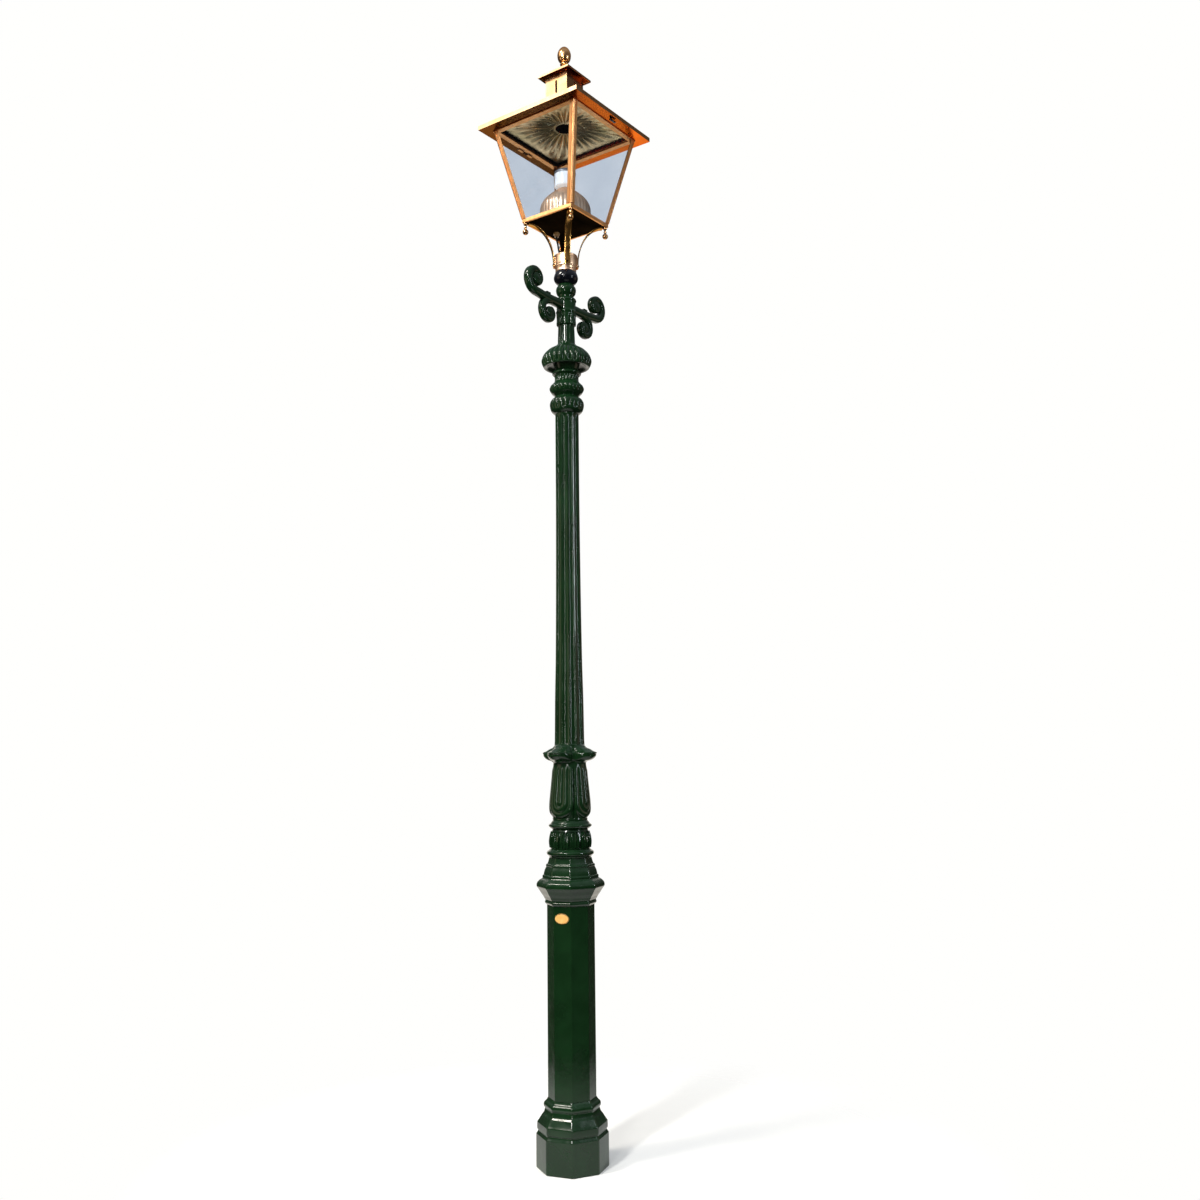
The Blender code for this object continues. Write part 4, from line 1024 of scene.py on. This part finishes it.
def build_reflector():
    """A sheet pressed in fan folds that run from the round hub to the square rim."""
    low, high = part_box("reflector")
    sheet = 0.0014
    rim_half, rim_z = high.x, low.z + 0.0008
    hub_radius, hub_z = 0.04, high.z - 0.0016
    fold_height, samples, rows = 0.0115, 8, 22
    count = FAN_FOLDS * samples
    lower = []
    for row in range(rows + 1):
        share = row / rows
        ring = []
        for k in range(count):
            angle = 2 * pi * (k + 0.5) / count
            reach = rim_half / max(abs(cos(angle)), abs(sin(angle)))
            span = reach + (hub_radius - reach) * share
            fold = abs(sin(FAN_FOLDS * angle / 2)) ** 1.2 * fold_height * sin(pi * share ** 1.6) ** 0.9
            z = rim_z + (hub_z - rim_z) * share + fold
            ring.append((span * cos(angle), span * sin(angle), z))
        lower.append(ring)
    upper = [[(x, y, z + sheet) for x, y, z in ring] for ring in reversed(lower)]
    folds = loft(lower + upper, True)
    add_piece("reflector_folds", folds, "reflector", "reflector", sharp=60, weighted=False)


def build_roof():
    # The roof, chimney and cap share the roof copper with its painted shade and painted bounce light.
    refine("roof", "roof_copper", 0.0009)
    refine("vent_chimney", "roof_copper", 0.0007)
    refine("vent_cap", "roof_copper", 0.0009)
    refine("roof_latch", "black_paint", 0.0006)


def build_finial():
    outline = smooth([
        (0.0005, 0.0), (0.016, 0.0), (0.0165, 0.003), (0.0135, 0.0058), (0.01, 0.0085), (0.01, 0.012),
        (0.014, 0.017), (0.0182, 0.0205), (0.017, 0.024), (0.013, 0.027), (0.017, 0.0305), (0.023, 0.037),
        (0.027, 0.0455), (0.0289, 0.055), (0.0292, 0.065), (0.0275, 0.0745), (0.0235, 0.0845),
        (0.0175, 0.093), (0.011, 0.0985), (0.006, 0.1012), (0.0003, 0.1029),
    ], 4)
    turned("finial_turning", "finial", "brass", outline, 64, closed=False, sharp=60)


# ---------------- stage


def build_floor():
    """A pale floor that fades out round the post, so that no horizon shows."""
    half_side = 3
    material, tree, shader = new_shader("pale_floor", 0.75)
    tone = ramp(tree, noise(tree, 1.5, 3.0), (0.3, (0.86, 0.86, 0.845)), (0.75, (0.88, 0.88, 0.865)))
    tree.links.new(tone, shader.inputs["Base Color"])
    shader.inputs["Specular IOR Level"].default_value = 0.1
    shader.inputs["Emission Color"].default_value = (1.0, 1.0, 0.985, 1)
    shader.inputs["Emission Strength"].default_value = 0.1
    place = add_node(tree, "ShaderNodeTexCoord").outputs["Object"]
    distance = add_node(tree, "ShaderNodeVectorMath", {"operation": "LENGTH"})
    tree.links.new(place, distance.inputs[0])
    reach = ramp(tree, math_node(tree, "MULTIPLY", distance.outputs["Value"], 0.25), (0.14, 0.0), (0.42, 1.0))
    clear = add_node(tree, "ShaderNodeBsdfTransparent")
    mix_shaders(tree, "Material Output", reach, shader.outputs[0], clear.outputs[0])
    bm = bmesh.new()
    bmesh.ops.create_grid(bm, x_segments=24, y_segments=24, size=half_side)
    floor = new_object("floor", bm, weighted=False)
    floor.location.z = -0.001
    floor.data.materials.append(material)


def build_world():
    """A dim sky that lights the post, behind a white backdrop that only the camera sees."""
    world = bpy.data.worlds.new("studio")
    bpy.context.scene.world = world
    world.use_nodes = True
    tree = world.node_tree
    place = add_node(tree, "ShaderNodeTexCoord").outputs["Generated"]
    height = add_node(tree, "ShaderNodeSeparateXYZ", Vector=place).outputs[2]
    ground, horizon, zenith = (0.05, 0.046, 0.038), (0.12, 0.12, 0.115), (0.44, 0.47, 0.52)
    sky = ramp(tree, height, (0.0, ground), (0.25, horizon), (0.9, zenith))
    dim = tree.nodes["Background"]
    tree.links.new(sky, dim.inputs["Color"])
    white = add_node(tree, "ShaderNodeBackground", Color=(1.0, 1.0, 0.985, 1), Strength=1.0)
    camera_sees = add_node(tree, "ShaderNodeLightPath").outputs["Is Camera Ray"]
    mix_shaders(tree, "World Output", camera_sees, dim.outputs[0], white.outputs[0])
    bpy.context.scene.view_settings.view_transform = "Standard"


def add_light(name, place, aim_height, power, size, colour):
    """An area light in watts, pointed at a height on the post's axis."""
    light = bpy.data.lights.new(name, "AREA")
    light.energy = power
    light.shape = "RECTANGLE"
    light.size, light.size_y = size
    light.color = colour
    obj = bpy.data.objects.new(name, light)
    obj.location = place
    obj.rotation_euler = (Vector((0, 0, aim_height)) - Vector(place)).to_track_quat("-Z", "Y").to_euler()
    bpy.context.scene.collection.objects.link(obj)
    return obj


def build_lights():
    warm, amber = (1.0, 0.94, 0.84), (1.0, 0.8, 0.58)
    neutral, cool = (1.0, 0.98, 0.95), (0.85, 0.93, 1.0)
    add_light("sky_left", (-5.2, 3.6, 7.4), 4.2, 80, (3.2, 3.2), warm)
    add_light("street_left", (-4.5, 3.8, 2.6), 4.0, 34, (3.0, 3.0), amber)
    add_light("street_right", (4.6, -3.8, 2.6), 4.0, 16, (3.0, 3.0), amber)
    add_light("sky_front", (-5.2, -2.4, 8.2), 4.0, 20, (2.5, 2.5), neutral)
    add_light("sun", (-7.1, 3.4, 11.5), 2.0, 760, (1.8, 1.8), warm)
    add_light("key_front", (-6.0, -0.6, 6.0), 2.4, 400, (0.55, 1.5), neutral)
    add_light("strip_front", (-5.2, -2.0, 2.9), 1.8, 80, (0.12, 3.2), neutral)
    add_light("strip_right", (0.8, -6.0, 3.4), 2.2, 120, (0.18, 3.4), cool)
    add_light("bounce", (4.0, 3.3, 1.2), 4.2, 150, (6.0, 6.0), warm).visible_camera = False


def build_camera():
    """The photo's camera, solved from the rings and frames of the post. Pitch is up, yaw to the right."""
    azimuth, distance, height = radians(-52.3), 4.77, 1.59
    pitch, yaw, roll = radians(7.15), radians(1.5435), radians(-0.64)
    camera = bpy.data.objects.new("camera", bpy.data.cameras.new("camera"))
    bpy.context.scene.collection.objects.link(camera)
    camera.location = (distance * sin(azimuth), -distance * cos(azimuth), height)
    level = Euler((pi / 2 + pitch, 0, azimuth - yaw)).to_matrix().to_4x4()
    camera.rotation_euler = (level @ Matrix.Rotation(roll, 4, "Z")).to_euler()
    camera.data.sensor_width = 36
    camera.data.lens = 35.44
    bpy.context.scene.camera = camera


build_plinth()
build_cornice()
build_pedestal()
build_door()
build_label()
build_base_ring()
build_leaf_collar()
build_leaf_ring()
build_calyx()
build_shaft()
build_neck()
build_bell()
build_upper_column()
build_collar()
build_arms()
build_hub()
build_cup()
build_leg_tabs()
build_legs()
build_balls()
build_bars()
build_lantern_body()
build_dome()
build_lamp()
build_reflector()
build_roof()
build_finial()
build_floor()
build_world()
build_lights()
build_camera()
